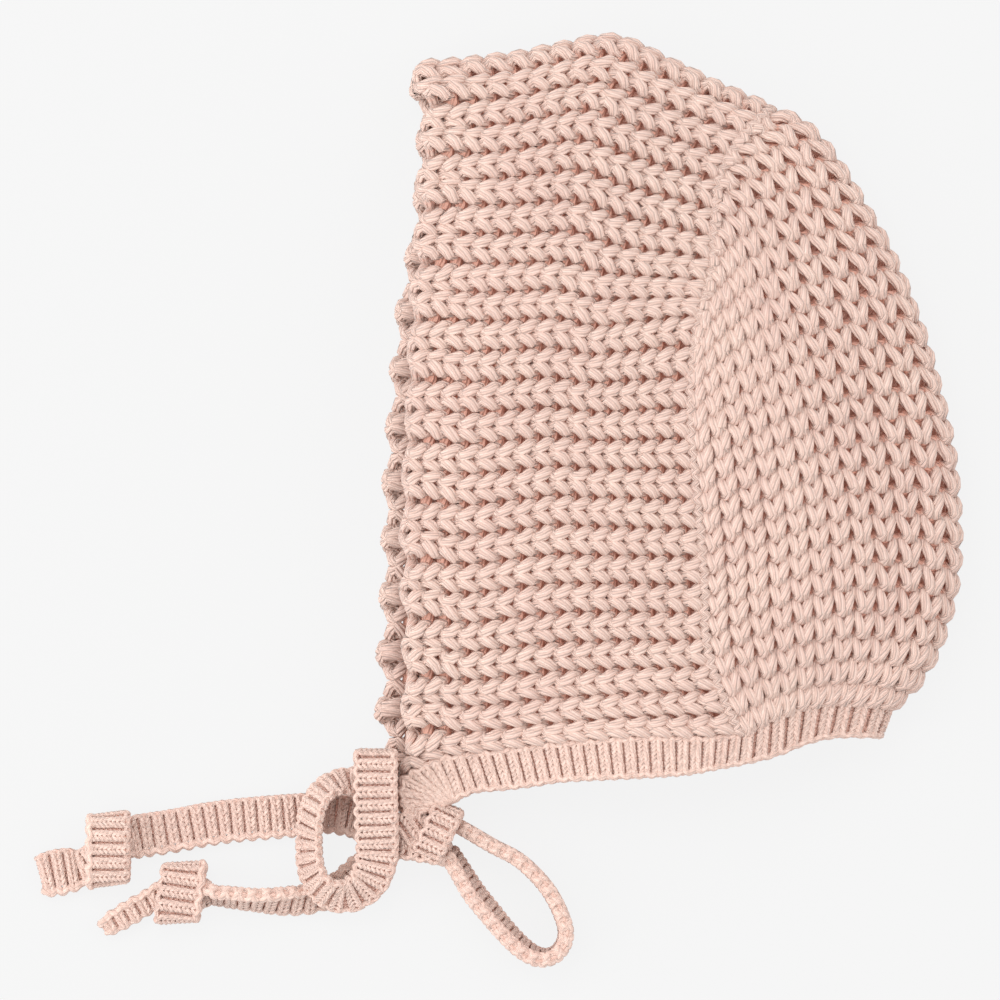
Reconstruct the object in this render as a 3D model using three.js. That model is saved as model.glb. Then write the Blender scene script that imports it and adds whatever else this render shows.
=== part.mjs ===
import * as THREE from 'three';

// Chunky knit bonnet for a small child, laid flat on its side. Sizes are in millimetres.
// +X runs from the face opening to the back of the head, +Y from the neck to the crown, and +Z up
// from the surface that it lies on. The origin lies under the middle of the bonnet.

// Driving sizes of the bonnet
const BODY_DEPTH = 153;
const BODY_HEIGHT = 205.5;
const WALL = 5;
const FURROW = 1.1;
const BAND_WALL = 4.4;
const SEAM_GAP = 0.5;
const FRONT_RIB = 7.3;
const BACK_RIB = 5.8;

// How the bonnet lies: the tight folds at crown and back, the swell of the upper layer,
// its sag at the open front edge and the pinch where the ties draw the jaw together
const FOLD_RADIUS = 6.5;
const PUFF = 17;
const PUFF_RUN = 30;
const FRONT_SAG = 5;
const FRONT_SAG_RUN = 16;
const SWAY = 0.7;
const SWAY_LENGTH = 70;
const JAW_PINCH = 0.64;
const JAW_RUN = 42;

// Scallops of the front edge: depth, and how many ribs each one gathers
const NEAR_SCALLOP = 1.6;
const NEAR_SCALLOP_RIBS = 2;
const FAR_SCALLOP = 1.6;
const FAR_SCALLOP_RIBS = 4;

// Driving sizes of the ties
const TIE_WIDTH = 11;
const TIE_THICK = 4.6;
const KNOT_HEIGHT = 16.5;
const KNOT_ROUND = 4;
const KNOT_LIFT = 0.3;

// Plan outlines, as shares of the depth (along) and of the height (up) of the bonnet.
// The outer edge runs over the crown from the front, down the back and to the hem at the nape.
const CROWN = [
  { along: -0.440, up: 0.461 }, { along: -0.355, up: 0.467 }, { along: -0.253, up: 0.478 },
  { along: -0.177, up: 0.490 }, { along: -0.117, up: 0.499 }, { along: -0.066, up: 0.495 },
  { along: 0.002, up: 0.470 }, { along: 0.078, up: 0.441 }, { along: 0.180, up: 0.406 },
];
const BACK = [
  { along: 0.231, up: 0.392 }, { along: 0.282, up: 0.352 }, { along: 0.333, up: 0.292 },
  { along: 0.384, up: 0.224 }, { along: 0.435, up: 0.129 }, { along: 0.469, up: 0.041 },
  { along: 0.490, up: -0.035 }, { along: 0.499, up: -0.118 }, { along: 0.498, up: -0.181 },
  { along: 0.485, up: -0.232 }, { along: 0.463, up: -0.282 }, { along: 0.434, up: -0.322 },
  { along: 0.403, up: -0.346 }, { along: 0.382, up: -0.366 }, { along: 0.371, up: -0.394 },
];
// The seam between the front strip and the back panel: its upper stretch cuts the back ribs off,
// and its lower stretch runs beside them down to the neck.
const SEAM_TOP = [
  { along: 0.139, up: 0.375 }, { along: 0.109, up: 0.348 }, { along: 0.088, up: 0.315 },
  { along: 0.077, up: 0.268 }, { along: 0.073, up: 0.205 }, { along: 0.058, up: 0.157 },
  { along: 0.043, up: 0.104 },
];
const SEAM_SIDE = [
  { along: 0.037, up: 0.016 }, { along: 0.049, up: -0.092 }, { along: 0.060, up: -0.194 },
  { along: 0.063, up: -0.266 }, { along: 0.085, up: -0.327 },
];
// The open front edge, from the crown to the jaw, of the upper (near) and the lower (far) layer
const FRONT_NEAR = [
  { along: -0.417, up: 0.401 }, { along: -0.424, up: 0.325 }, { along: -0.424, up: 0.287 },
  { along: -0.430, up: 0.224 }, { along: -0.435, up: 0.161 }, { along: -0.444, up: 0.034 },
  { along: -0.450, up: -0.092 }, { along: -0.452, up: -0.168 }, { along: -0.449, up: -0.244 },
  { along: -0.446, up: -0.308 }, { along: -0.450, up: -0.371 },
];
const FRONT_FAR = [
  { along: -0.423, up: 0.351 }, { along: -0.434, up: 0.249 }, { along: -0.454, up: 0.173 },
  { along: -0.470, up: 0.059 }, { along: -0.481, up: -0.054 }, { along: -0.484, up: -0.143 },
  { along: -0.488, up: -0.244 }, { along: -0.491, up: -0.346 },
];
// The neck seam above the band: from each jaw end to the foot of the seam, then to the nape
const HOOK_NEAR = [
  { along: -0.437, up: -0.497 }, { along: -0.451, up: -0.480 }, { along: -0.456, up: -0.462 },
];
const HOOK_FAR = [
  { along: -0.432, up: -0.499 }, { along: -0.460, up: -0.480 }, { along: -0.484, up: -0.459 },
];
const JAW_NEAR = [{ along: -0.451, up: -0.446 }, { along: -0.420, up: -0.429 }];
const JAW_FAR = [{ along: -0.490, up: -0.434 }, { along: -0.440, up: -0.427 }];
const NECK_FRONT = [
  { along: -0.388, up: -0.418 }, { along: -0.349, up: -0.414 }, { along: -0.253, up: -0.405 },
  { along: -0.179, up: -0.399 }, { along: -0.049, up: -0.392 }, { along: 0.060, up: -0.392 },
  { along: 0.121, up: -0.386 },
];
const NECK_BACK = [
  { along: 0.172, up: -0.366 }, { along: 0.226, up: -0.353 }, { along: 0.284, up: -0.347 },
];
const NAPE_UP = -0.351;
// The free lower edge of the neck band, from the jaw to the nape
const HEM = [
  { along: -0.383, up: -0.478 }, { along: -0.361, up: -0.472 }, { along: -0.330, up: -0.461 },
  { along: -0.279, up: -0.457 }, { along: -0.228, up: -0.452 }, { along: -0.177, up: -0.446 },
  { along: -0.049, up: -0.441 }, { along: 0.027, up: -0.437 }, { along: 0.078, up: -0.430 },
  { along: 0.129, up: -0.423 }, { along: 0.180, up: -0.414 }, { along: 0.231, up: -0.399 },
  { along: 0.282, up: -0.391 },
];

// Routes of the ties. Each row is a point of the centre line, the heading and the lean of the
// strap's width in degrees, and its width and thickness as shares of a plain flat tie.
const BOW_LOOP_LEFT = [
  { x: -73.8, y: -103.4, z: 13.7, head: 0, lean: 0, wide: 0.70, thick: 0.78 },
  { x: -75.6, y: -98.0, z: 13.8, head: 0, lean: 0, wide: 0.86, thick: 0.78 },
  { x: -76.4, y: -91.0, z: 13.8, head: 0, lean: 0, wide: 0.96, thick: 0.80 },
  { x: -76.3, y: -87.2, z: 14.0, head: 0, lean: 0, wide: 1.0, thick: 0.85 },
  { x: -76.2, y: -84.9, z: 16.2, head: 0, lean: 0, wide: 1.05, thick: 0.85 },
  { x: -76.2, y: -87.0, z: 18.6, head: 0, lean: 0, wide: 1.05, thick: 0.95 },
  { x: -76.2, y: -94.0, z: 19.0, head: 0, lean: 0, wide: 1.05, thick: 1.0 },
  { x: -76.0, y: -104.0, z: 17.4, head: 0, lean: 0, wide: 1.04, thick: 1.0 },
  { x: -76.0, y: -112.0, z: 14.0, head: -8, lean: 0, wide: 1.0, thick: 1.0 },
  { x: -78.6, y: -118.6, z: 11.4, head: -35, lean: -18, wide: 0.98, thick: 1.0 },
  { x: -84.2, y: -122.0, z: 10.6, head: -72, lean: -42, wide: 0.95, thick: 1.0 },
  { x: -90.0, y: -120.4, z: 11.4, head: -125, lean: -62, wide: 0.95, thick: 1.0 },
  { x: -93.6, y: -115.2, z: 10.4, head: -165, lean: -74, wide: 0.98, thick: 1.0 },
  { x: -94.6, y: -108.0, z: 9.8, head: -180, lean: -76, wide: 0.98, thick: 1.0 },
  { x: -94.0, y: -100.6, z: 11.2, head: -195, lean: -76, wide: 0.98, thick: 1.0 },
  { x: -90.4, y: -94.2, z: 11.4, head: -225, lean: -74, wide: 0.95, thick: 1.0 },
  { x: -84.4, y: -92.2, z: 10.4, head: -262, lean: -48, wide: 0.8, thick: 0.8 },
  { x: -78.4, y: -93.6, z: 9.8, head: -285, lean: -8, wide: 0.78, thick: 0.75 },
  { x: -73.6, y: -98.4, z: 9.7, head: -305, lean: 0, wide: 0.7, thick: 0.74 },
];
const BOW_LOOP_RIGHT = [
  { x: -52.6, y: -105.4, z: 6.0, head: 61, lean: 85, wide: 0.95, thick: 1.0 },
  { x: -49.6, y: -107.2, z: 5.9, head: 60, lean: 85, wide: 1.0, thick: 1.0 },
  { x: -45.8, y: -109.4, z: 5.9, head: 60, lean: 85, wide: 1.0, thick: 1.0 },
  { x: -38.6, y: -113.4, z: 5.9, head: 55, lean: 85, wide: 1.0, thick: 1.0 },
  { x: -31.8, y: -120.4, z: 5.9, head: 40, lean: 85, wide: 1.0, thick: 1.0 },
  { x: -27.8, y: -128.2, z: 5.9, head: 20, lean: 85, wide: 1.0, thick: 1.0 },
  { x: -27.2, y: -133.2, z: 5.9, head: -10, lean: 85, wide: 1.0, thick: 1.0 },
  { x: -29.6, y: -137.0, z: 5.9, head: -60, lean: 84, wide: 1.0, thick: 1.0 },
  { x: -33.6, y: -137.8, z: 5.9, head: -110, lean: 80, wide: 1.0, thick: 1.0 },
  { x: -38.0, y: -135.4, z: 6.0, head: -136, lean: 76, wide: 1.0, thick: 1.0 },
  { x: -42.6, y: -130.8, z: 6.0, head: -142, lean: 74, wide: 1.0, thick: 1.0 },
  { x: -46.6, y: -126.0, z: 6.0, head: -150, lean: 72, wide: 1.0, thick: 1.0 },
  { x: -50.6, y: -121.0, z: 6.0, head: -152, lean: 72, wide: 1.0, thick: 1.0 },
  { x: -54.2, y: -115.2, z: 6.2, head: -150, lean: 74, wide: 0.96, thick: 1.0 },
  { x: -57.0, y: -110.6, z: 6.6, head: -148, lean: 76, wide: 0.9, thick: 0.95 },
];
const TAIL_UPPER = [
  { x: -71.4, y: -106.6, z: 6.0, head: 90, lean: 0, wide: 0.66, thick: 0.74 },
  { x: -75.6, y: -105.4, z: 5.8, head: 80, lean: 0, wide: 0.85, thick: 0.74 },
  { x: -81.2, y: -101.8, z: 3.4, head: 80, lean: 0, wide: 0.92, thick: 0.82 },
  { x: -90.5, y: -100.4, z: 2.5, head: 86, lean: 0, wide: 0.92, thick: 0.9 },
  { x: -98.5, y: -101.1, z: 2.5, head: 92, lean: 0, wide: 1.0, thick: 1.0 },
  { x: -116.0, y: -102.7, z: 2.5, head: 94, lean: 0, wide: 1.0, thick: 1.0 },
  { x: -130.0, y: -105.2, z: 2.5, head: 98, lean: 0, wide: 1.0, thick: 1.0 },
  { x: -139.4, y: -106.8, z: 2.7, head: 98, lean: 0, wide: 0.98, thick: 1.0 },
];
const TAIL_LOWER = [
  { x: -71.5, y: -110.0, z: 2.0, head: 105, lean: 0, wide: 0.56, thick: 0.74 },
  { x: -76.2, y: -112.6, z: 2.0, head: 122, lean: 0, wide: 0.8, thick: 0.74 },
  { x: -82.6, y: -118.2, z: 2.0, head: 122, lean: 2, wide: 0.8, thick: 0.74 },
  { x: -90.0, y: -122.4, z: 2.4, head: 100, lean: 10, wide: 0.62, thick: 0.74 },
  { x: -97.6, y: -123.6, z: 4.6, head: 90, lean: 45, wide: 0.82, thick: 0.95 },
  { x: -106.0, y: -123.6, z: 5.9, head: 88, lean: 66, wide: 1.0, thick: 1.0 },
  { x: -114.0, y: -122.8, z: 6.0, head: 86, lean: 70, wide: 1.0, thick: 1.0 },
  { x: -119.6, y: -122.0, z: 6.0, head: 85, lean: 70, wide: 1.0, thick: 1.0 },
];
const END_KNOT_UPPER = [
  { x: -139.9, y: -108.2, z: 5.4, head: 98, lean: 0, wide: 1.1, thick: 1.8 },
  { x: -142.0, y: -108.8, z: 5.6, head: 98, lean: 0, wide: 1.56, thick: 2.1 },
  { x: -145.6, y: -110.1, z: 5.8, head: 98, lean: 0, wide: 1.82, thick: 2.3 },
  { x: -149.4, y: -111.6, z: 5.7, head: 100, lean: 0, wide: 1.56, thick: 2.25 },
  { x: -152.0, y: -112.7, z: 5.4, head: 100, lean: 0, wide: 1.16, thick: 1.8 },
];
const TIP_UPPER = [
  { x: -152.9, y: -114.6, z: 3.0, head: 98, lean: 0, wide: 0.86, thick: 1.1 },
  { x: -156.4, y: -115.4, z: 2.6, head: 96, lean: 0, wide: 1.05, thick: 1.0 },
  { x: -160.6, y: -116.2, z: 2.5, head: 98, lean: 0, wide: 1.08, thick: 1.0 },
  { x: -163.8, y: -117.0, z: 2.4, head: 98, lean: 0, wide: 0.95, thick: 0.85 },
];
const END_KNOT_LOWER = [
  { x: -120.4, y: -121.4, z: 5.6, head: 88, lean: 0, wide: 1.0, thick: 1.9 },
  { x: -122.4, y: -121.3, z: 5.7, head: 90, lean: 0, wide: 1.34, thick: 2.2 },
  { x: -127.4, y: -121.2, z: 5.8, head: 92, lean: 0, wide: 1.42, thick: 2.3 },
  { x: -131.4, y: -121.9, z: 5.6, head: 98, lean: 0, wide: 1.2, thick: 2.1 },
  { x: -134.2, y: -122.8, z: 5.0, head: 104, lean: 0, wide: 0.8, thick: 1.7 },
];
const TIP_LOWER = [
  { x: -134.8, y: -123.4, z: 3.4, head: 112, lean: 0, wide: 0.5, thick: 1.2 },
  { x: -140.6, y: -126.8, z: 2.7, head: 118, lean: 0, wide: 0.52, thick: 1.0 },
  { x: -145.0, y: -129.4, z: 2.6, head: 120, lean: 0, wide: 0.46, thick: 0.95 },
  { x: -147.2, y: -130.8, z: 2.6, head: 122, lean: 0, wide: 0.3, thick: 0.8 },
];
// Plan of the bow's centre knot, from its upper left corner clockwise
const BOW_KNOT = [
  { x: -70.2, y: -103.2 }, { x: -64.6, y: -103.6 }, { x: -57.4, y: -100.2 },
  { x: -54.8, y: -101.6 }, { x: -55.2, y: -106.4 }, { x: -58.2, y: -110.2 },
  { x: -60.6, y: -113.2 }, { x: -70.2, y: -113.0 },
];

// How finely the faceted solids follow the curves
const STEPS_A_ROW = 12;
const SLOPE_STEP = 0.05;
const FRONT_STEPS = [0, 0.06, 0.15, 0.28, 0.42, 0.56, 0.7, 0.85, 1];
const BACK_STEPS = 13;
const BAND_STEPS = 26;
const BAND_ACROSS = 2;
const STRAP_STEPS_A_ROW = 2;
const RIB_TOP_STARTS = 0.3;
const RIB_TOP_ENDS = 0.7;

// A plan line through its rows, read by the share of its length
class Line {
  constructor(points) {
    this.points = points;
    this.marks = [0];
    for (let i = 1; i < points.length; i += 1) {
      this.marks.push(this.marks[i - 1] + points[i].distanceTo(points[i - 1]));
    }
    this.length = this.marks[points.length - 1];
  }

  static through(knots) {
    const curve = new THREE.SplineCurve(knots);
    return new Line(curve.getPoints((knots.length - 1) * STEPS_A_ROW));
  }

  // The stretch between two rows of the table that the line was made from
  stretch(first, last) {
    return new Line(this.points.slice(first * STEPS_A_ROW, last * STEPS_A_ROW + 1));
  }

  at(share) {
    const mark = THREE.MathUtils.clamp(share, 0, 1) * this.length;
    let i = 1;
    while (i < this.marks.length - 1 && this.marks[i] < mark) {
      i += 1;
    }
    const part = (mark - this.marks[i - 1]) / (this.marks[i] - this.marks[i - 1]);
    return this.points[i - 1].clone().lerp(this.points[i], part);
  }

  // Distance of a point from the line, and the direction out of the bonnet there
  nearest(point) {
    let best = { distance: Infinity, outward: null };
    for (let i = 1; i < this.points.length; i += 1) {
      const start = this.points[i - 1];
      const step = this.points[i].clone().sub(start);
      const along = point.clone().sub(start).dot(step) / step.lengthSq();
      const foot = start.clone().addScaledVector(step, THREE.MathUtils.clamp(along, 0, 1));
      const distance = foot.distanceTo(point);
      if (distance < best.distance) {
        best = { distance, outward: new THREE.Vector2(-step.y, step.x).normalize() };
      }
    }
    return best;
  }
}

const place = ({ along, up }) => new THREE.Vector2(along * BODY_DEPTH, up * BODY_HEIGHT);
const placed = (...tables) => tables.flat().map(place);

// The middle of the wall turns over half a wall inside the visible outline
function movedIn(line, distance) {
  const { points } = line;
  return new Line(points.map((point, i) => {
    const before = points[Math.max(i - 1, 0)];
    const after = points[Math.min(i + 1, points.length - 1)];
    const step = after.clone().sub(before).normalize();
    return new THREE.Vector2(point.x + step.y * distance, point.y - step.x * distance);
  }));
}

const foldLine = movedIn(Line.through(placed(CROWN, BACK)), WALL / 2);
const crownFold = foldLine.stretch(0, CROWN.length - 1);
const backFold = foldLine.stretch(CROWN.length - 1, CROWN.length + BACK.length - 1);
const napeIndex = backFold.points.findIndex((point) => point.y < NAPE_UP * BODY_HEIGHT);
const napeFold = new Line(backFold.points.slice(0, napeIndex + 1));
const tip = crownFold.at(1);
const nape = napeFold.at(1);
const hemNape = backFold.at(1);

const neckNear = Line.through([...placed(HOOK_NEAR, JAW_NEAR, NECK_FRONT, NECK_BACK), nape]);
const neckFar = Line.through([...placed(HOOK_FAR, JAW_FAR, NECK_FRONT, NECK_BACK), nape]);
const hem = Line.through([...placed(HEM), hemNape]);
const jawRow = HOOK_NEAR.length;
const footRow = jawRow + JAW_NEAR.length + NECK_FRONT.length - 1;
const napeRow = footRow + NECK_BACK.length + 1;
const seamFoot = place(NECK_FRONT[NECK_FRONT.length - 1]);
const seam = Line.through([tip, ...placed(SEAM_TOP, SEAM_SIDE), seamFoot]);
const seamTop = seam.stretch(0, SEAM_TOP.length);
const seamSide = seam.stretch(SEAM_TOP.length, SEAM_TOP.length + SEAM_SIDE.length + 1);
const frontNear = Line.through([crownFold.at(0), ...placed(FRONT_NEAR), place(JAW_NEAR[0])]);
const frontFar = Line.through([crownFold.at(0), ...placed(FRONT_FAR), place(JAW_FAR[0])]);
const jaw = place(HEM[0]);

// The middle surface of the wall: its height over a plan point and its outward direction
const swell = (distance) => 1 - Math.exp(-((distance / PUFF_RUN) ** 1.5));

function rise(point) {
  const crown = crownFold.nearest(point).distance;
  const back = backFold.nearest(point).distance;
  const wave = Math.sin(2 * Math.PI * point.x / SWAY_LENGTH) * Math.cos(2 * Math.PI * point.y / SWAY_LENGTH);
  const sag = FRONT_SAG * Math.exp(-((frontNear.nearest(point).distance / FRONT_SAG_RUN) ** 2));
  const full = PUFF * swell(crown) * swell(back);
  return full * (1 - sag / PUFF) + SWAY * wave * swell(crown) * swell(back);
}

function height(point, upper) {
  const edge = Math.min(foldLine.nearest(point).distance, FOLD_RADIUS);
  const turn = Math.sqrt(FOLD_RADIUS ** 2 - (FOLD_RADIUS - edge) ** 2);
  const lower = WALL / 2 + FOLD_RADIUS - turn;
  if (!upper) {
    return lower;
  }
  const pinch = JAW_PINCH * Math.exp(-((point.distanceTo(jaw) / JAW_RUN) ** 2));
  return lower + (2 * turn + rise(point)) * (1 - pinch);
}

function slope(point, upper, axis) {
  const step = new THREE.Vector2(axis === 'x' ? SLOPE_STEP : 0, axis === 'y' ? SLOPE_STEP : 0);
  const after = height(point.clone().add(step), upper);
  return (after - height(point.clone().sub(step), upper)) / (2 * SLOPE_STEP);
}

function facing(point, upper) {
  const { distance, outward } = foldLine.nearest(point);
  const sign = upper ? 1 : -1;
  if (distance > FOLD_RADIUS - SLOPE_STEP) {
    const flat = new THREE.Vector3(-slope(point, upper, 'x'), -slope(point, upper, 'y'), 1);
    return flat.normalize().multiplyScalar(sign);
  }
  const angle = Math.acos(1 - distance / FOLD_RADIUS);
  const side = Math.cos(angle);
  return new THREE.Vector3(outward.x * side, outward.y * side, sign * Math.sin(angle));
}

// Plan distance that a length of knit covers when it starts at the fold and turns over it
const quarter = FOLD_RADIUS * Math.PI / 2;
const laidOut = (length) => (
  length < quarter ? FOLD_RADIUS * (1 - Math.cos(length / FOLD_RADIUS)) : length - quarter + FOLD_RADIUS
);
const lengthOf = (plan) => plan - FOLD_RADIUS + quarter;

// A point inside four plan lines: v runs from the left line to the right one, q from top to bottom
function between({ top, bottom, left, right }, v, q) {
  const sum = new THREE.Vector2();
  sum.addScaledVector(top.at(v), 1 - q).addScaledVector(bottom.at(v), q);
  sum.addScaledVector(left.at(q), 1 - v).addScaledVector(right.at(q), v);
  sum.addScaledVector(top.at(0), -(1 - v) * (1 - q)).addScaledVector(top.at(1), -v * (1 - q));
  sum.addScaledVector(bottom.at(0), -(1 - v) * q).addScaledVector(bottom.at(1), -v * q);
  return sum;
}

// A closed wall from a grid of middle points, each with its direction and its two half thicknesses
function wallSolid(rows) {
  const positions = [];
  const indices = [];
  const across = rows[0].length;
  const push = ({ point, normal }, offset) => {
    positions.push(...point.clone().addScaledVector(normal, offset).toArray());
  };
  rows.flat().forEach((cell) => push(cell, cell.outer));
  rows.flat().forEach((cell) => push(cell, -cell.inner));
  const outer = (i, j) => i * across + j;
  const inner = (i, j) => (rows.length + i) * across + j;
  const quad = (a, b, c, d) => indices.push(a, b, c, a, c, d);
  const lastRow = rows.length - 1;
  const lastColumn = across - 1;
  for (let i = 0; i < lastRow; i += 1) {
    for (let j = 0; j < lastColumn; j += 1) {
      quad(outer(i, j), outer(i + 1, j), outer(i + 1, j + 1), outer(i, j + 1));
      quad(inner(i, j), inner(i, j + 1), inner(i + 1, j + 1), inner(i + 1, j));
    }
    quad(outer(i, 0), inner(i, 0), inner(i + 1, 0), outer(i + 1, 0));
    quad(outer(i, lastColumn), outer(i + 1, lastColumn), inner(i + 1, lastColumn), inner(i, lastColumn));
  }
  for (let j = 0; j < lastColumn; j += 1) {
    quad(outer(0, j), outer(0, j + 1), inner(0, j + 1), inner(0, j));
    quad(outer(lastRow, j), inner(lastRow, j), inner(lastRow, j + 1), outer(lastRow, j + 1));
  }
  return closed(positions, indices);
}

function closed(positions, indices) {
  const geometry = new THREE.BufferGeometry();
  geometry.setAttribute('position', new THREE.Float32BufferAttribute(positions, 3));
  geometry.setIndex(indices);
  if (volume(positions, indices) < 0) {
    for (let i = 0; i < indices.length; i += 3) {
      [indices[i], indices[i + 1]] = [indices[i + 1], indices[i]];
    }
    geometry.setIndex(indices);
  }
  geometry.computeVertexNormals();
  return geometry;
}

function volume(positions, indices) {
  const corner = (i) => new THREE.Vector3().fromArray(positions, 3 * indices[i]);
  let sum = 0;
  for (let i = 0; i < indices.length; i += 3) {
    sum += corner(i).dot(corner(i + 1).cross(corner(i + 2))) / 6;
  }
  return sum;
}

// One cell of a wall, from its plan point
function cell(plan, upper, outer, inner) {
  const point = new THREE.Vector3(plan.x, plan.y, height(plan, upper));
  return { point, normal: facing(plan, upper), outer, inner };
}

// Rib phases: 0 is the furrow between two ribs, and the ridge on the inside lies over it
const ribOuter = (phase) => (phase === 0 ? WALL / 2 - FURROW : WALL / 2);
const ribInner = (phase) => (phase === 0 ? WALL / 2 : WALL / 2 - FURROW);

// Signed rib numbers from the upper layer's far end, over the fold at 0, to the lower layer's
function ribSamples(count, phases) {
  const half = [];
  for (let rib = 0; rib < count; rib += 1) {
    phases.forEach((phase) => half.push({ rib: rib + phase, phase }));
  }
  half.push({ rib: count, phase: 0 });
  const upper = half.slice(1).reverse().map((sample) => ({ ...sample, upper: true }));
  return [...upper, ...half.map((sample) => ({ ...sample, upper: false }))];
}

// Front strip: its ribs run from the front edge to the seam, from jaw to jaw over the crown
const frontLines = {
  near: { top: crownFold, bottom: neckNear.stretch(jawRow, footRow), left: frontNear, right: seam },
  far: { top: crownFold, bottom: neckFar.stretch(jawRow, footRow), left: frontFar, right: seam },
};

function scallop(rib, depth, ribs) {
  return depth * (Math.cos(2 * Math.PI * rib / ribs) - 1) / 2;
}

function frontPanel() {
  const middle = frontLines.near.bottom.at(0.5).distanceTo(crownFold.at(0.5));
  const count = Math.round(lengthOf(middle) / FRONT_RIB);
  return wallSolid(ribSamples(count, [0, RIB_TOP_STARTS, RIB_TOP_ENDS]).map(({ rib, phase, upper }) => {
    const lines = upper ? frontLines.near : frontLines.far;
    return FRONT_STEPS.map((step, j) => {
      const plan = lines.bottom.at(step).distanceTo(lines.top.at(step));
      const q = laidOut(lengthOf(plan) * rib / count) / plan * (1 - SEAM_GAP / 2 / plan);
      const width = lines.left.at(q).distanceTo(lines.right.at(q));
      const v = step * (1 - SEAM_GAP / 2 / width);
      const point = between(lines, v, q);
      if (j === 0) {
        point.x += upper ? scallop(rib, NEAR_SCALLOP, NEAR_SCALLOP_RIBS) : scallop(rib, FAR_SCALLOP, FAR_SCALLOP_RIBS);
      }
      return cell(point, upper, ribOuter(phase), ribInner(phase));
    });
  }));
}

// Back panel: its ribs run down beside the back fold, and end at the seam above and the neck below
const backLines = {
  top: seamTop, bottom: neckNear.stretch(footRow, napeRow), left: napeFold, right: seamSide,
};
backLines.bottom = new Line([...backLines.bottom.points].reverse());

function backPanel() {
  const count = Math.round(lengthOf(backLines.left.at(0.6).distanceTo(backLines.right.at(0.4))) / BACK_RIB);
  const top = SEAM_GAP / 2 / napeFold.length;
  return wallSolid(ribSamples(count, [0, 0.5]).map(({ rib, phase, upper }) => {
    const cells = [];
    for (let i = 0; i <= BACK_STEPS; i += 1) {
      const q = top + (1 - 2 * top) * i / BACK_STEPS;
      const plan = backLines.left.at(q).distanceTo(backLines.right.at(q));
      const v = laidOut(lengthOf(plan) * rib / count) / plan * (1 - SEAM_GAP / 2 / plan);
      cells.push(cell(between(backLines, v, q), upper, ribOuter(phase), ribInner(phase)));
    }
    return cells;
  }));
}

// Neck band: a flat rib band round the neck, whose ends hook down into the bow
function neckBand() {
  const rows = [];
  for (let i = -BAND_STEPS; i <= BAND_STEPS; i += 1) {
    const upper = i < 0;
    const edge = upper ? neckNear : neckFar;
    const share = Math.abs(i) / BAND_STEPS;
    const topLength = laidOut(lengthOf(edge.length) * share);
    const hemLength = laidOut(lengthOf(hem.length) * share);
    const top = edge.at(1 - topLength / edge.length);
    const low = hem.at(1 - hemLength / hem.length);
    const start = SEAM_GAP / 2 / top.distanceTo(low);
    rows.push([...Array(BAND_ACROSS + 1).keys()].map((j) => {
      const plan = top.clone().lerp(low, start + (1 - start) * j / BAND_ACROSS);
      return cell(plan, upper, BAND_WALL / 2, BAND_WALL / 2);
    }));
  }
  return wallSolid(rows);
}

// Strap section, as shares of its width and thickness, for a flat knitted tie
const STRAP_SECTION = [
  { wide: 0.5, thick: 0.22 }, { wide: 0.4, thick: 0.5 }, { wide: -0.4, thick: 0.5 },
  { wide: -0.5, thick: 0.22 }, { wide: -0.5, thick: -0.22 }, { wide: -0.4, thick: -0.5 },
  { wide: 0.4, thick: -0.5 }, { wide: 0.5, thick: -0.22 },
];

function widthDirection({ head, lean }) {
  const turn = THREE.MathUtils.degToRad(head);
  const rise = THREE.MathUtils.degToRad(lean);
  return new THREE.Vector3(
    Math.cos(turn) * Math.cos(rise), Math.sin(turn) * Math.cos(rise), Math.sin(rise),
  );
}

// A flat strap carried along its route, with closed ends
function strap(route) {
  const centre = new THREE.CatmullRomCurve3(route.map(({ x, y, z }) => new THREE.Vector3(x, y, z)));
  const width = new THREE.CatmullRomCurve3(route.map(widthDirection));
  const size = new THREE.CatmullRomCurve3(route.map(({ wide, thick }) => new THREE.Vector3(wide, thick, 0)));
  centre.curveType = 'catmullrom';
  width.curveType = 'catmullrom';
  size.curveType = 'catmullrom';
  const positions = [];
  const indices = [];
  const steps = (route.length - 1) * STRAP_STEPS_A_ROW;
  const sides = STRAP_SECTION.length;
  for (let i = 0; i <= steps; i += 1) {
    const tangent = centre.getTangent(i / steps);
    const across = width.getPoint(i / steps).projectOnPlane(tangent).normalize();
    const through = across.clone().cross(tangent);
    const shares = size.getPoint(i / steps);
    STRAP_SECTION.forEach(({ wide, thick }) => {
      const corner = centre.getPoint(i / steps);
      corner.addScaledVector(across, wide * shares.x * TIE_WIDTH);
      corner.addScaledVector(through, thick * shares.y * TIE_THICK);
      positions.push(...corner.toArray());
    });
  }
  for (let i = 0; i < steps; i += 1) {
    for (let j = 0; j < sides; j += 1) {
      const next = (j + 1) % sides;
      const a = i * sides + j;
      const b = i * sides + next;
      indices.push(a, b, b + sides, a, b + sides, a + sides);
    }
  }
  for (let j = 1; j < sides - 1; j += 1) {
    indices.push(0, j + 1, j);
    indices.push(steps * sides, steps * sides + j, steps * sides + j + 1);
  }
  return closed(positions, indices);
}

// The wrapped knot in the middle of the bow, rounded over at its top and bottom
function knot(plan) {
  const shape = new THREE.Shape(plan.map(({ x, y }) => new THREE.Vector2(x, y)));
  const geometry = new THREE.ExtrudeGeometry(shape, {
    depth: KNOT_HEIGHT - 2 * KNOT_ROUND,
    bevelEnabled: true,
    bevelThickness: KNOT_ROUND,
    bevelSize: KNOT_ROUND / 2,
    bevelOffset: -KNOT_ROUND / 2,
    bevelSegments: 3,
  });
  geometry.translate(0, 0, KNOT_ROUND + KNOT_LIFT);
  return geometry;
}

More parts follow.
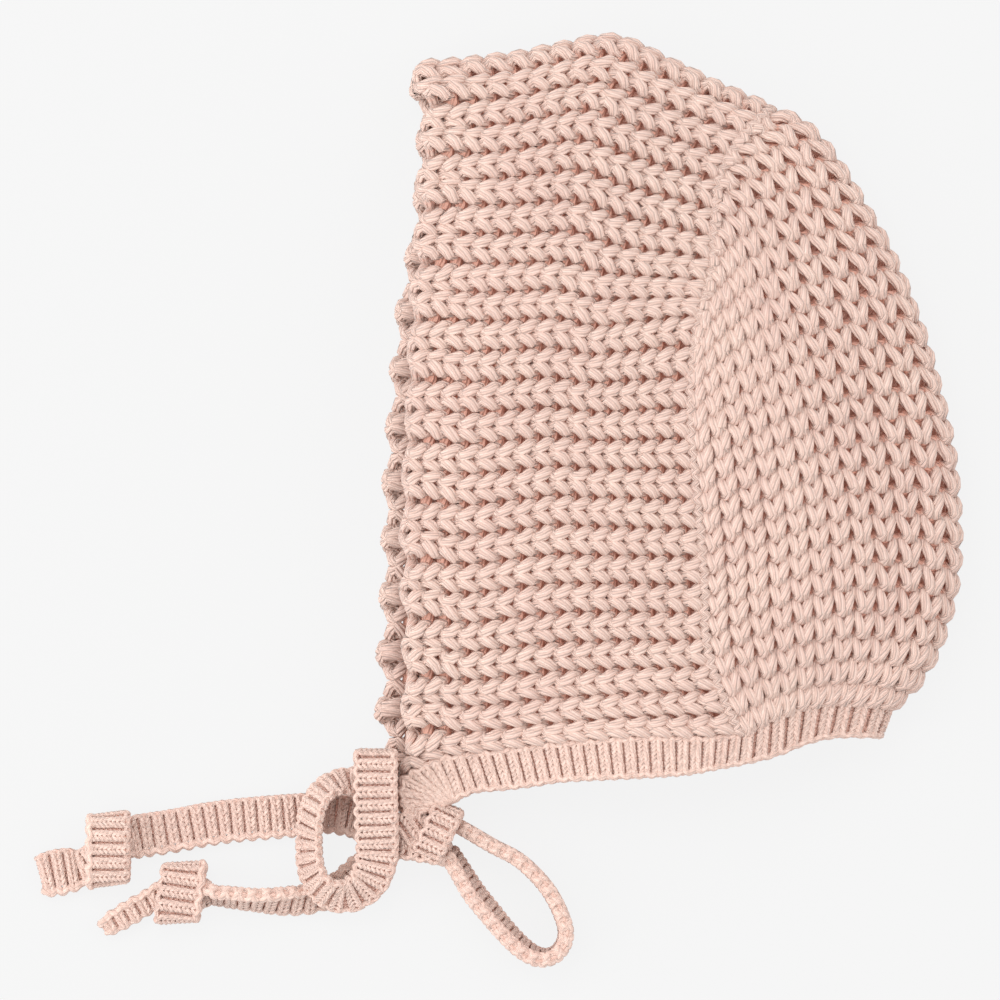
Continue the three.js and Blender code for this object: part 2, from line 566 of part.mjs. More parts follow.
// Materials: one soft pink wool for all the knitting, a touch lighter on the smooth bands
const wool = (color) => new THREE.MeshStandardMaterial({ color, roughness: 0.95, metalness: 0 });
const RIB_COLOUR = 0xe3c2b4;
const BAND_COLOUR = 0xe8c9bc;
const TIE_COLOUR = 0xe6c6b9;

const bonnet = new THREE.Group();
function add(name, geometry, color) {
  const mesh = new THREE.Mesh(geometry, wool(color));
  mesh.name = name;
  bonnet.add(mesh);
}

add('front_panel', frontPanel(), RIB_COLOUR);
add('back_panel', backPanel(), RIB_COLOUR);
add('neck_band', neckBand(), BAND_COLOUR);
add('bow_knot', knot(BOW_KNOT), TIE_COLOUR);
add('bow_loop_left', strap(BOW_LOOP_LEFT), TIE_COLOUR);
add('bow_loop_right', strap(BOW_LOOP_RIGHT), TIE_COLOUR);
add('tail_upper', strap(TAIL_UPPER), TIE_COLOUR);
add('tail_lower', strap(TAIL_LOWER), TIE_COLOUR);
add('end_knot_upper', strap(END_KNOT_UPPER), TIE_COLOUR);
add('end_knot_lower', strap(END_KNOT_LOWER), TIE_COLOUR);
add('tip_upper', strap(TIP_UPPER), TIE_COLOUR);
add('tip_lower', strap(TIP_LOWER), TIE_COLOUR);

export default bonnet;
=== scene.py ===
import math

import bpy
import numpy as np
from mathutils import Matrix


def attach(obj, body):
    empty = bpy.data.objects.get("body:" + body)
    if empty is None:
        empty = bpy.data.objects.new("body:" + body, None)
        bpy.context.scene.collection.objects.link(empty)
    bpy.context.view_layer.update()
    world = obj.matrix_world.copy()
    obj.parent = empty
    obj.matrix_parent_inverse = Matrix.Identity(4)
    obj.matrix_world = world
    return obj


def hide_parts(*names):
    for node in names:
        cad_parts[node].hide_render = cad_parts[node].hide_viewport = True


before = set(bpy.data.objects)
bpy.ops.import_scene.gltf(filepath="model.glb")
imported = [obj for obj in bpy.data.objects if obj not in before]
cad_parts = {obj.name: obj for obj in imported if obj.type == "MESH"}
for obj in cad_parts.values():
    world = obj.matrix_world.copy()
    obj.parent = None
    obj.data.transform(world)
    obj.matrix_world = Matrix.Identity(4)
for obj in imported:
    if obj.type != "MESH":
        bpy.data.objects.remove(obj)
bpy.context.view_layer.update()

bl_info = {
    "name": "Chunky knit bonnet",
    "version": (1, 0, 0),
    "blender": (4, 5, 0),
    "location": "3D View > Sidebar > Bonnet",
    "description": "Knits a chunky rib bonnet, laid flat on its side, from yarn loops",
    "category": "Add Mesh",
}

MM = 0.001
TURN = 2 * math.pi

# Sizes of the bonnet in millimetres, the same as the solids'
BODY_DEPTH = 153.0
BODY_HEIGHT = 205.5
WALL = 5.0
SEAM_GAP = 0.5
FOLD_RADIUS = 6.5
PUFF = 17.0
PUFF_RUN = 30.0
FRONT_SAG = 5.0
FRONT_SAG_RUN = 16.0
SWAY = 0.7
SWAY_LENGTH = 70.0
JAW_PINCH = 0.64
JAW_RUN = 42.0
TIE_WIDTH = 11.0
FRONT_RIBS = 25
BACK_RIBS = 12
FRONT_COURSES = 16
ROW_PITCH = 6.25
ROW_SPREAD = 0.42
BACK_MIDDLE = 150.0
LOBE_RUN = 1.1
LOBE_SLOT = 1.1
LOBE_SWING = 0.26
LOBE_PULL = 0.17
BORDER_IN = 0.3
BAND_RIBS = 40
BAND_ROWS = 8
BACK_BAND_RIBS = 9.5
BACK_SHARE = 0.345
FAN_RIBS = 7
FAN_TOP = 22.5
FAN_HEM = 3.5
STRIP_DEPTH = 75.0
COURSE_PITCH = 4.8
RIB_PITCH = 7.3
COLUMN_PITCH = 5.8
BAND_ROW = 1.35
BAND_WALE = 3.6
KNOT_FOOT = 1.5
KNOT_HIGH = 12.5

# Yarn radii in millimetres
FRONT_YARN = 1.6
BACK_YARN = 1.55
STRAP_YARN = 0.68
BAND_YARN = 0.74
BAND_STRAND = 0.85
SEAM_STRAND = 1.25

# The seam's chain: half height in millimetres, courses past the strip, swing in courses, turns to
# each rib and lift in millimetres. Rows of the back panel tuck under it and crowd before it
SEAM_HIGH = 0.9
SEAM_IN = 0.05
SEAM_SWING = 0.12
SEAM_TURNS = 2.5
SEAM_LIFT = 0.8
SEAM_TUCK = 0.15
SEAM_CROWD = 0.6

# Shares of the knot's core and of the wraps' thickness, and how round the wraps turn
KNOT_CORE = 0.82
WRAP_THICK = 0.8
WRAP_ROUND = 0.8

# Unevenness of the yarn, in courses, ribs, shares of the radius and millimetres of lift, and how
# many courses in from the border the inner face and the edge stay pale, with less painted depth shade.
# Random seeds
UNEVEN_COURSE = 0.07
UNEVEN_RIB = 0.035
UNEVEN_THICK = 0.06
UNEVEN_LIFT = 0.1
INNER_RUN = 2.2
EDGE_RUN = 0.7
FRONT_SEED = 3
BACK_SEED = 50
BAND_SEED = 130
TIE_SEED = 200
KNOT_SEED = 340

# The camera's picture in metres, and the stage
LENS = 500
SENSOR = 36
PICTURE_MIDDLE = (-0.04394, -0.01898)
PICTURE_WIDE = 0.26
PICTURE_LEVEL = 0.012
FLOOR_HALF = 3
FLOOR_LEVEL = -0.0004
FLOOR_GLOW = 0.85
SKY_LIGHT = 0.98
LAMP_AIM = (-0.02, 0.0, 0.0)

# Lamps. Columns: name, place and size in metres, power in watts
LAMPS = [
    ("top_softbox", (-0.5, 0.6, 1.5), 1.0, 10.0), ("right_softbox", (0.9, 0.2, 1.1), 0.9, 3.4),
    ("left_softbox", (-0.9, -0.2, 0.45), 0.8, 4.6),
]

# Plan outlines of the bonnet, each row the shares (along the depth, up the height)
CROWN = [
    (-0.440, 0.461), (-0.355, 0.467), (-0.253, 0.478), (-0.177, 0.490), (-0.117, 0.499),
    (-0.066, 0.495), (0.002, 0.470), (0.078, 0.441), (0.180, 0.406),
]
BACK = [
    (0.231, 0.392), (0.282, 0.352), (0.333, 0.292), (0.384, 0.224), (0.435, 0.129),
    (0.469, 0.041), (0.490, -0.035), (0.499, -0.118), (0.498, -0.181), (0.485, -0.232),
    (0.463, -0.282), (0.434, -0.322), (0.403, -0.346), (0.382, -0.366), (0.371, -0.394),
]
SEAM_TOP = [
    (0.139, 0.375), (0.109, 0.348), (0.088, 0.315), (0.077, 0.268), (0.073, 0.205),
    (0.058, 0.157), (0.043, 0.104),
]
SEAM_SIDE = [
    (0.037, 0.016), (0.049, -0.092), (0.060, -0.194), (0.063, -0.266), (0.085, -0.327),
]
FRONT_NEAR = [
    (-0.417, 0.401), (-0.424, 0.325), (-0.424, 0.287), (-0.430, 0.224), (-0.435, 0.161),
    (-0.444, 0.034), (-0.450, -0.092), (-0.452, -0.168), (-0.449, -0.244), (-0.446, -0.308),
    (-0.450, -0.371),
]
FRONT_FAR = [
    (-0.423, 0.351), (-0.434, 0.249), (-0.454, 0.173), (-0.470, 0.059), (-0.481, -0.054),
    (-0.484, -0.143), (-0.488, -0.244), (-0.491, -0.346),
]
HOOK_NEAR = [(-0.437, -0.497), (-0.451, -0.480), (-0.456, -0.462)]
HOOK_FAR = [(-0.432, -0.499), (-0.460, -0.480), (-0.484, -0.459)]
JAW_NEAR = [(-0.451, -0.446), (-0.420, -0.429)]
JAW_FAR = [(-0.490, -0.434), (-0.440, -0.427)]
NECK_FRONT = [
    (-0.388, -0.418), (-0.349, -0.414), (-0.253, -0.405), (-0.179, -0.399), (-0.049, -0.392),
    (0.060, -0.392), (0.121, -0.386),
]
NECK_BACK = [(0.172, -0.366), (0.226, -0.353), (0.284, -0.347)]
NAPE_UP = -0.351
HEM = [
    (-0.383, -0.478), (-0.361, -0.472), (-0.330, -0.461), (-0.279, -0.457), (-0.228, -0.452),
    (-0.177, -0.446), (-0.049, -0.441), (0.027, -0.437), (0.078, -0.430), (0.129, -0.423),
    (0.180, -0.414), (0.231, -0.399), (0.282, -0.391),
]

# Routes of the ties: x, y, z of the centre line in millimetres, heading and lean of the width in
# degrees, and width and thickness as shares of a plain flat tie
BOW_LOOP_LEFT = [
    (-73.8, -103.4, 13.7, 0, 0, 0.70, 0.78), (-75.6, -98.0, 13.8, 0, 0, 0.86, 0.78),
    (-76.4, -91.0, 13.8, 0, 0, 0.96, 0.80), (-76.3, -87.2, 14.0, 0, 0, 1.0, 0.85),
    (-76.2, -84.9, 16.2, 0, 0, 1.05, 0.85), (-76.2, -87.0, 18.6, 0, 0, 1.05, 0.95),
    (-76.2, -94.0, 19.0, 0, 0, 1.05, 1.0), (-76.0, -104.0, 17.4, 0, 0, 1.04, 1.0),
    (-76.0, -112.0, 14.0, -8, 0, 1.0, 1.0), (-78.6, -118.6, 11.4, -35, -18, 0.98, 1.0),
    (-84.2, -122.0, 10.6, -72, -36, 0.95, 1.0), (-90.0, -120.4, 11.4, -125, -48, 0.95, 1.0),
    (-93.0, -115.2, 10.4, -165, -56, 0.98, 1.0), (-93.6, -108.0, 9.8, -180, -58, 0.98, 1.0),
    (-93.0, -100.6, 11.2, -195, -58, 0.98, 1.0), (-90.0, -94.6, 11.4, -225, -60, 0.95, 1.0),
    (-84.4, -92.2, 10.4, -262, -48, 0.8, 0.8), (-78.4, -93.6, 9.8, -285, -8, 0.78, 0.75),
    (-73.6, -98.4, 9.7, -305, 0, 0.7, 0.74),
]
BOW_LOOP_RIGHT = [
    (-57.0, -103.0, 6.4, 62, 85, 0.8, 1.0), (-52.6, -105.4, 6.0, 61, 85, 0.95, 1.0),
    (-49.6, -107.2, 5.9, 60, 85, 1.0, 1.0),
    (-45.8, -109.4, 5.9, 60, 85, 1.0, 1.0), (-38.6, -113.4, 5.9, 55, 85, 1.0, 1.0),
    (-31.8, -120.4, 5.9, 40, 85, 1.0, 1.0), (-27.8, -128.2, 5.9, 20, 85, 1.0, 1.0),
    (-27.2, -133.2, 5.9, -10, 85, 1.0, 1.0), (-29.6, -137.0, 5.9, -60, 84, 1.0, 1.0),
    (-33.6, -137.8, 5.9, -110, 80, 1.0, 1.0), (-38.0, -135.4, 6.0, -136, 76, 1.0, 1.0),
    (-42.6, -130.8, 6.0, -142, 74, 1.0, 1.0), (-46.6, -126.0, 6.0, -150, 72, 1.0, 1.0),
    (-50.6, -121.0, 6.0, -152, 72, 1.0, 1.0), (-54.2, -115.2, 6.2, -150, 74, 0.96, 1.0),
    (-57.0, -110.6, 6.6, -148, 76, 0.9, 0.95),
]
TAIL_UPPER = [
    (-71.4, -106.6, 6.0, 90, 0, 0.66, 0.74), (-75.6, -105.4, 5.8, 80, 0, 0.85, 0.74),
    (-81.2, -101.8, 3.4, 80, 0, 0.92, 0.82), (-90.5, -100.4, 2.5, 86, 0, 0.92, 0.9),
    (-98.5, -101.1, 2.5, 92, 0, 1.0, 1.0), (-116.0, -102.7, 2.5, 94, 0, 1.0, 1.0),
    (-130.0, -105.2, 2.5, 98, 0, 1.0, 1.0), (-139.4, -106.8, 2.7, 98, 0, 0.98, 1.0),
]
TAIL_LOWER = [
    (-71.5, -110.0, 2.0, 105, 0, 0.56, 0.74), (-76.2, -112.6, 2.0, 122, 0, 0.8, 0.74),
    (-82.6, -118.2, 2.0, 122, 2, 0.8, 0.74), (-90.0, -122.4, 2.4, 100, 10, 0.62, 0.74),
    (-97.6, -123.6, 4.6, 90, 45, 0.82, 0.95), (-106.0, -123.6, 5.9, 88, 66, 1.0, 1.0),
    (-114.0, -122.8, 6.0, 86, 70, 1.0, 1.0), (-119.6, -122.0, 6.0, 85, 70, 1.0, 1.0),
]
END_KNOT_UPPER = [
    (-139.9, -108.2, 5.4, 98, 0, 1.1, 1.8), (-142.0, -108.8, 5.6, 98, 0, 1.56, 2.1),
    (-145.6, -110.1, 5.8, 98, 0, 1.82, 2.3), (-149.4, -111.6, 5.7, 100, 0, 1.56, 2.25),
    (-152.0, -112.7, 5.4, 100, 0, 1.16, 1.8),
]
TIP_UPPER = [
    (-152.9, -114.6, 3.0, 98, 0, 0.86, 1.1), (-156.4, -115.4, 2.6, 96, 0, 1.05, 1.0),
    (-160.6, -116.2, 2.5, 98, 0, 1.08, 1.0), (-163.8, -117.0, 2.4, 98, 0, 0.95, 0.85),
]
END_KNOT_LOWER = [
    (-120.4, -121.4, 5.6, 88, 0, 1.0, 1.9), (-122.4, -121.3, 5.7, 90, 0, 1.34, 2.2),
    (-127.4, -121.2, 5.8, 92, 0, 1.42, 2.3), (-131.4, -121.9, 5.6, 98, 0, 1.2, 2.1),
    (-134.2, -122.8, 5.0, 104, 0, 0.8, 1.7),
]
TIP_LOWER = [
    (-134.8, -123.4, 3.4, 112, 0, 0.5, 1.2), (-140.6, -126.8, 2.7, 118, 0, 0.52, 1.0),
    (-145.0, -129.4, 2.6, 120, 0, 0.46, 0.95), (-147.2, -130.8, 2.6, 122, 0, 0.3, 0.8),
]
BOW_KNOT = [
    (-70.2, -103.2), (-64.6, -103.6), (-57.4, -100.2), (-54.8, -101.6), (-55.2, -106.4),
    (-58.2, -110.2), (-60.6, -113.2), (-70.2, -113.0),
]

# How far the furrows lie below evenly spaced ones, in millimetres, for a rib number, at four
# places across the front strip: at the border, a fifth of the way in, past the middle and at the seam
FURROW_PLACES = (0.0, 0.2, 0.62, 0.95)
FURROW_SHIFTS = [
    (0, 0.0, 0.0, 0.0, 0.0), (1, -1.2, 0.0, 1.6, -0.7), (2, -2.3, 0.0, 2.4, -1.3),
    (4, -3.9, -0.3, 3.1, -0.5), (6, -4.9, -2.1, 4.7, 0.3), (8, -5.5, -1.6, 5.7, -1.7),
    (10, -6.0, -1.5, 4.7, -6.2), (13, -5.0, 0.4, 4.4, -3.0), (17, -3.6, 2.4, 3.9, 0.4),
    (20, -3.6, 2.7, 3.5, 1.0), (22, -3.6, 2.9, 3.6, 1.3), (24, -3.9, 1.6, 2.2, 0.5),
    (25, 0.0, 0.0, 0.0, 0.0),
]

# One yarn loop of 1 x 1 rib, from the middle of the crossing strand to the middle of the head, for
# the front strip, the back panel and the fine rib of the band and the ties. Columns: courses along
# the rib, ribs across it from the wale's middle, height in yarn radii
FRONT_LOOP = [
    (0.02, -0.27, -0.10), (-0.02, -0.14, 0.35), (0.06, -0.09, 0.90), (0.32, -0.13, 1.35),
    (0.60, -0.24, 1.38), (0.82, -0.36, 0.95), (0.97, -0.29, 0.10), (1.00, 0.00, -0.15),
]
BACK_LOOP = [
    (0.04, -0.27, -0.10), (0.00, -0.14, 0.35), (0.07, -0.10, 0.90), (0.30, -0.14, 1.28),
    (0.57, -0.25, 1.30), (0.79, -0.35, 0.88), (0.95, -0.28, 0.10), (0.99, 0.00, -0.15),
]
FINE_LOOP = [
    (0.05, -0.25, 0.00), (0.10, -0.12, 0.65), (0.28, -0.09, 1.30), (0.62, -0.17, 1.50),
    (1.02, -0.30, 1.40), (1.38, -0.36, 0.95), (1.60, -0.20, 0.55), (1.62, 0.00, 0.40),
]

# Wraps of the knots, each a strap bound once round what it holds. Columns: x, y, z of the middle in
# millimetres, heading of the strap's width in degrees, half length and half height of the turn in
# millimetres, slant of the turn's ends along the width in millimetres, and width as a share
END_WRAP_UPPER = (-145.8, -109.9, 5.8, 8.0, 8.2, 3.9, 1.2, 1.04)
END_WRAP_LOWER = (-127.2, -121.2, 5.8, 4.0, 6.6, 3.8, 1.4, 1.10)
BOW_WRAPS = [
    (-60.2, -105.4, 9.4, -20.0, 6.4, 6.4, 0.6, 0.76), (-64.4, -109.6, 7.2, 84.0, 6.4, 5.4, 0.4, 0.60),
    (-67.0, -103.8, 8.0, -48.0, 4.8, 5.6, 0.4, 0.88),
]


def shares(table):
    """Plan points in millimetres from a table of shares of the depth and the height."""
    return np.array(table) * (BODY_DEPTH, BODY_HEIGHT)


def spline(knots, steps=12, reach=False):
    """A uniform Catmull-Rom curve through the knots: each stretch is a cubic whose end slopes are
    half the way between the neighbouring knots. With reach, the end knots are mirrored outwards."""
    knots = np.asarray(knots, float)
    last = len(knots) - 1
    if np.ndim(steps):
        t = np.asarray(steps) * last
    else:
        t = np.linspace(0, last, last * steps + 1)
    i = np.clip(t.astype(int), 0, last - 1)
    w = (t - i)[:, None]
    padded = np.concatenate([knots[:1], knots, knots[-1:]])
    if reach:
        padded[0] = 2 * knots[0] - knots[1]
        padded[-1] = 2 * knots[-1] - knots[-2]
    p0, p1, p2, p3 = padded[i], padded[i + 1], padded[i + 2], padded[np.minimum(i + 3, last + 2)]
    v0, v1 = (p2 - p0) / 2, (p3 - p1) / 2
    return (2 * p1 - 2 * p2 + v0 + v1) * w**3 + (-3 * p1 + 3 * p2 - 2 * v0 - v1) * w**2 + v0 * w + p1


class Line:
    """A plan line, read by the share of its length."""

    def __init__(self, points):
        self.points = np.asarray(points, float)
        steps = np.linalg.norm(np.diff(self.points, axis=0), axis=1)
        self.marks = np.concatenate([[0], np.cumsum(steps)])
        self.length = self.marks[-1]

    def stretch(self, first, last, steps=12):
        return Line(self.points[first * steps:last * steps + 1])

    def at(self, share):
        mark = np.clip(share, 0, 1) * self.length
        return np.stack([np.interp(mark, self.marks, self.points[:, k]) for k in (0, 1)], -1)

    def distance(self, points):
        """Least distance from each point to the line's stretches, by the foot on each stretch."""
        start, step = self.points[:-1], np.diff(self.points, axis=0)
        flat = points.reshape(-1, 2)
        out = np.empty(len(flat))
        size = (step**2).sum(1)
        for low in range(0, len(flat), 4000):
            part = flat[low:low + 4000, None] - start
            along = np.clip((part * step).sum(-1) / size, 0, 1)
            out[low:low + 4000] = np.sqrt(((part - along[..., None] * step)**2).sum(-1)).min(1)
        return out.reshape(points.shape[:-1])


def moved_in(points, distance):
    """The line offset to its right, as seen along its course, by a distance."""
    step = np.gradient(points, axis=0)
    step /= np.linalg.norm(step, axis=1, keepdims=True)
    return points + np.stack([step[:, 1], -step[:, 0]], 1) * distance


FOLD = Line(moved_in(spline(np.concatenate([shares(CROWN), shares(BACK)])), WALL / 2))
CROWN_FOLD = FOLD.stretch(0, len(CROWN) - 1)
BACK_FOLD = FOLD.stretch(len(CROWN) - 1, len(CROWN) + len(BACK) - 1)
NAPE_INDEX = int(np.argmax(BACK_FOLD.points[:, 1] < NAPE_UP * BODY_HEIGHT))
NAPE_FOLD = Line(BACK_FOLD.points[:NAPE_INDEX + 1])
TIP = CROWN_FOLD.points[-1:]
NAPE = NAPE_FOLD.points[-1:]
HEM_NAPE = BACK_FOLD.points[-1:]
NECK = {
    "near": Line(spline(np.concatenate([shares(HOOK_NEAR + JAW_NEAR + NECK_FRONT + NECK_BACK), NAPE]))),
    "far": Line(spline(np.concatenate([shares(HOOK_FAR + JAW_FAR + NECK_FRONT + NECK_BACK), NAPE]))),
}
HEM_LINE = Line(spline(np.concatenate([shares(HEM), HEM_NAPE])))
JAW_ROW = len(HOOK_NEAR)
FOOT_ROW = JAW_ROW + len(JAW_NEAR) + len(NECK_FRONT) - 1
NAPE_ROW = FOOT_ROW + len(NECK_BACK) + 1
SEAM = Line(spline(np.concatenate([TIP, shares(SEAM_TOP + SEAM_SIDE + NECK_FRONT[-1:])])))
FRONT = {
    "near": Line(spline(np.concatenate([CROWN_FOLD.points[:1], shares(FRONT_NEAR + JAW_NEAR[:1])]))),
    "far": Line(spline(np.concatenate([CROWN_FOLD.points[:1], shares(FRONT_FAR + JAW_FAR[:1])]))),
}
JAW = shares(HEM[:1])[0]


def swell(distance):
    """Nought at a fold, and rising to one away from it."""
    return 1 - np.exp(-((distance / PUFF_RUN)**1.5))


def height(plan, upper):
    """Height of the wall's middle: a tight round fold at crown and back, then the upper layer's
    swell, which sags at the open front edge and is pinched where the ties draw the jaw together."""
    edge = np.minimum(FOLD.distance(plan), FOLD_RADIUS)
    turn = np.sqrt(np.maximum(FOLD_RADIUS**2 - (FOLD_RADIUS - edge)**2, 0))
    lower = WALL / 2 + FOLD_RADIUS - turn
    both = swell(CROWN_FOLD.distance(plan)) * swell(BACK_FOLD.distance(plan))
    wave = np.sin(TURN * plan[..., 0] / SWAY_LENGTH) * np.cos(TURN * plan[..., 1] / SWAY_LENGTH)
    sag = FRONT_SAG * np.exp(-((FRONT["near"].distance(plan) / FRONT_SAG_RUN)**2))
    rise = PUFF * both * (1 - sag / PUFF) + SWAY * wave * both
    pinch = JAW_PINCH * np.exp(-(((plan - JAW)**2).sum(-1) / JAW_RUN**2))
    return np.where(upper, lower + (2 * turn + rise) * (1 - pinch), lower)


QUARTER = FOLD_RADIUS * math.pi / 2


def laid_out(length):
    """Plan distance that a length of knit covers when it starts at the fold and turns over it."""
    round_part = FOLD_RADIUS * (1 - np.cos(np.minimum(length, QUARTER) / FOLD_RADIUS))
    return np.where(length < QUARTER, round_part, length - QUARTER + FOLD_RADIUS)


def length_of(plan):
    return plan - FOLD_RADIUS + QUARTER


def between(top, bottom, left, right, v, q):
    """A point inside four plan lines: the sum of both linear blends, less the blend of corners."""
    v1, q1 = v[..., None], q[..., None]
    blend = top.at(v) * (1 - q1) + bottom.at(v) * q1 + left.at(q) * (1 - v1) + right.at(q) * v1
    corners = (top.at(0) * (1 - v1) + top.at(1) * v1) * (1 - q1)
    return blend - corners - (bottom.at(0) * (1 - v1) + bottom.at(1) * v1) * q1


def smoothed(values, reach):
    """Each row's values averaged over its neighbours along the first axis, with held ends."""
    padded = np.concatenate([values[:1].repeat(reach, 0), values, values[-1:].repeat(reach, 0)])
    kernel = np.hanning(2 * reach + 3)[1:-1]
    kernel /= kernel.sum()
    return np.stack([np.convolve(column, kernel, "valid") for column in padded.T], 1)


class Fabric:
    """A knitted surface as a grid of middle points over two even scales, read between its points."""

    def __init__(self, a_scale, b_scale, points, facing=1):
        self.a, self.b, self.points = a_scale, b_scale, points
        normal = facing * np.cross(np.gradient(points, axis=0), np.gradient(points, axis=1))
        normal /= np.maximum(np.linalg.norm(normal, axis=-1, keepdims=True), 1e-9)
        self.normals = normal

    def place(self, a, b):
        """Point and direction at the scales' values a and b, by blending the four grid points."""
        i = (a - self.a[0]) / (self.a[1] - self.a[0])
        j = (b - self.b[0]) / (self.b[1] - self.b[0])
        i0 = np.clip(i.astype(int), 0, len(self.a) - 2)
        j0 = np.clip(j.astype(int), 0, len(self.b) - 2)
        s, t = (i - i0)[..., None], (j - j0)[..., None]
        out = []
        for grid in (self.points, self.normals):
            low = grid[i0, j0] * (1 - t) + grid[i0, j0 + 1] * t
            high = grid[i0 + 1, j0] * (1 - t) + grid[i0 + 1, j0 + 1] * t
            out.append(low * (1 - s) + high * s)
        return out[0], out[1] / np.linalg.norm(out[1], axis=-1, keepdims=True)


def front_fabric():
    """The front strip: courses run from the border to the seam, and rib numbers are signed, with
    the crown fold at nought, the upper layer below nought and the lower layer above."""
    last = FRONT_COURSES + 0.1
    a = np.linspace(0, last, 98)
    b = np.linspace(-FRONT_RIBS, FRONT_RIBS, 24 * FRONT_RIBS + 1)
    shifts = np.array(FURROW_SHIFTS)
    grids = []
    for side, part in (("near", b <= 0), ("far", b > 0)):
        bottom = NECK[side].stretch(JAW_ROW, FOOT_ROW)
        v, rib = np.meshgrid(a / last, np.abs(b[part]), indexing="ij")
        top_point, low_point = CROWN_FOLD.at(v), bottom.at(v)
        plan = np.linalg.norm(low_point - top_point, axis=-1)
        places = np.stack([np.interp(rib[0], shifts[:, 0], shifts[:, k]) for k in (1, 2, 3, 4)])
        weights = np.stack([np.interp(v[:, 0], FURROW_PLACES, row) for row in np.eye(4)], 1)
        weights = smoothed(weights, 9)
        shift = weights @ places if side == "near" else 0
        q = (laid_out(length_of(plan) * rib / FRONT_RIBS) + shift) / plan
        q = q * (1 - SEAM_GAP / 2 / plan)
        v = v * (1 - SEAM_GAP / 2 / STRIP_DEPTH)
        flat = between(CROWN_FOLD, bottom, FRONT[side], SEAM, v, q)
        z = height(flat, side == "near")
        grids.append(np.concatenate([flat, z[..., None]], -1))
    return Fabric(a, b, np.concatenate(grids, axis=1))


def back_fabric():
    """The back panel: rows are counted up from the neck by length along each column, and column
    numbers are signed, with the back fold at nought. Gives the fabric and each column's rows."""
    bottom = Line(NECK["near"].stretch(FOOT_ROW, NAPE_ROW).points[::-1])
    top, left, right = SEAM.stretch(0, len(SEAM_TOP)), NAPE_FOLD, SEAM.stretch(
        len(SEAM_TOP), len(SEAM_TOP) + len(SEAM_SIDE) + 1)
    b = np.linspace(-BACK_RIBS, BACK_RIBS, 24 * BACK_RIBS + 1)
    share = np.linspace(1, 0, 121)
    q, rib = np.meshgrid(share, np.abs(b), indexing="ij")
    plan = np.linalg.norm(left.at(q) - right.at(q), axis=-1)
    v = laid_out(length_of(plan) * rib / BACK_RIBS) / plan * (1 - SEAM_GAP / 2 / plan)
    flat = between(top, bottom, left, right, v, q)
    steps = np.linalg.norm(np.diff(flat, axis=0), axis=-1)
    marks = np.concatenate([np.zeros((1, len(b))), np.cumsum(steps, axis=0)])
    pitch = ROW_PITCH * (marks[-1] / BACK_MIDDLE)**ROW_SPREAD
    rows = marks[-1] / pitch
    a = np.arange(0, rows.max() + 0.2, 0.2)
    grid = np.empty((len(a), len(b), 2))
    for k in (0, 1):
        for j in range(len(b)):
            grid[:, j, k] = np.interp(a * pitch[j], marks[:, j], flat[:, j, k])
    over = np.maximum(a[:, None] * pitch - marks[-1], 0)[..., None]
    ahead = flat[-1] - flat[-2]
    grid += over * ahead / np.linalg.norm(ahead, axis=-1, keepdims=True)
    z = height(grid, (b <= 0)[None, :])
    return Fabric(a, b, np.concatenate([grid, z[..., None]], -1), facing=-1), np.abs(b), rows


def loop_path(loop, samples, size):
    """One period of the rib's yarn, from the middle of a purl wale to the middle of the next: half
    of a sunk loop, a raised loop and half of a sunk loop, each the mirror image of its neighbour.
    Gives the course, the rib and the height along it, evenly spaced by length."""
    half = np.array(loop)
    falling = half[::-1] * (1, -1, 1)
    sunk_out = (half * (1, -1, -1) - (0, 0.5, 0))[::-1]
    sunk_in = half * (1, 1, -1) + (0, 0.5, 0)
    knots = np.concatenate([sunk_out[:-1], half[:-1], falling[:-1], sunk_in])
    path = spline(knots, 16)
    marks = np.concatenate([[0], np.cumsum(np.linalg.norm(np.diff(path * size, axis=0), axis=1))])
    even = np.linspace(0, marks[-1], samples + 1)
    return np.stack([np.interp(even, marks, path[:, k]) for k in range(3)], 1)


def tube(points, hints, radius, sides):
    """Vertices, faces and UVs of a round tube: a circle in the plane of the side and the up
    directions, carried along the points. Up is the hint with its part along the path removed."""
    tangent = np.gradient(points, axis=0)
    tangent /= np.linalg.norm(tangent, axis=1, keepdims=True)
    side = np.cross(tangent, hints)
    side /= np.maximum(np.linalg.norm(side, axis=1, keepdims=True), 1e-9)
    up = np.cross(side, tangent)
    angle = np.arange(sides) * TURN / sides
    ring = side[:, None] * np.cos(angle)[None, :, None] + up[:, None] * np.sin(angle)[None, :, None]
    radius = np.broadcast_to(radius, len(points))
    vertices = points[:, None] + ring * radius[:, None, None]
    marks = np.concatenate([[0], np.cumsum(np.linalg.norm(np.diff(points, axis=0), axis=1))])
    return grid_mesh(vertices, marks, np.arange(sides + 1) / sides)


def grid_mesh(vertices, marks, turns):
    """Faces and UVs of a grid of rings that closes round each ring and has a flat cap at each end."""
    rings, sides = vertices.shape[:2]
    i, j = np.meshgrid(np.arange(rings - 1), np.arange(sides), indexing="ij")
    nxt = (j + 1) % sides
    quads = np.stack([i * sides + j, i * sides + nxt, (i + 1) * sides + nxt, (i + 1) * sides + j], -1)
    u = np.stack([marks[i], marks[i], marks[i + 1], marks[i + 1]], -1)
    v = np.stack([turns[j], turns[j + 1], turns[j + 1], turns[j]], -1)
    caps = np.stack([np.arange(sides)[::-1], (rings - 1) * sides + np.arange(sides)])
    return {
        "co": vertices.reshape(-1, 3),
        "quads": quads.reshape(-1, 4),
        "uv": np.stack([u, v], -1).reshape(-1, 2),
        "caps": caps,
    }


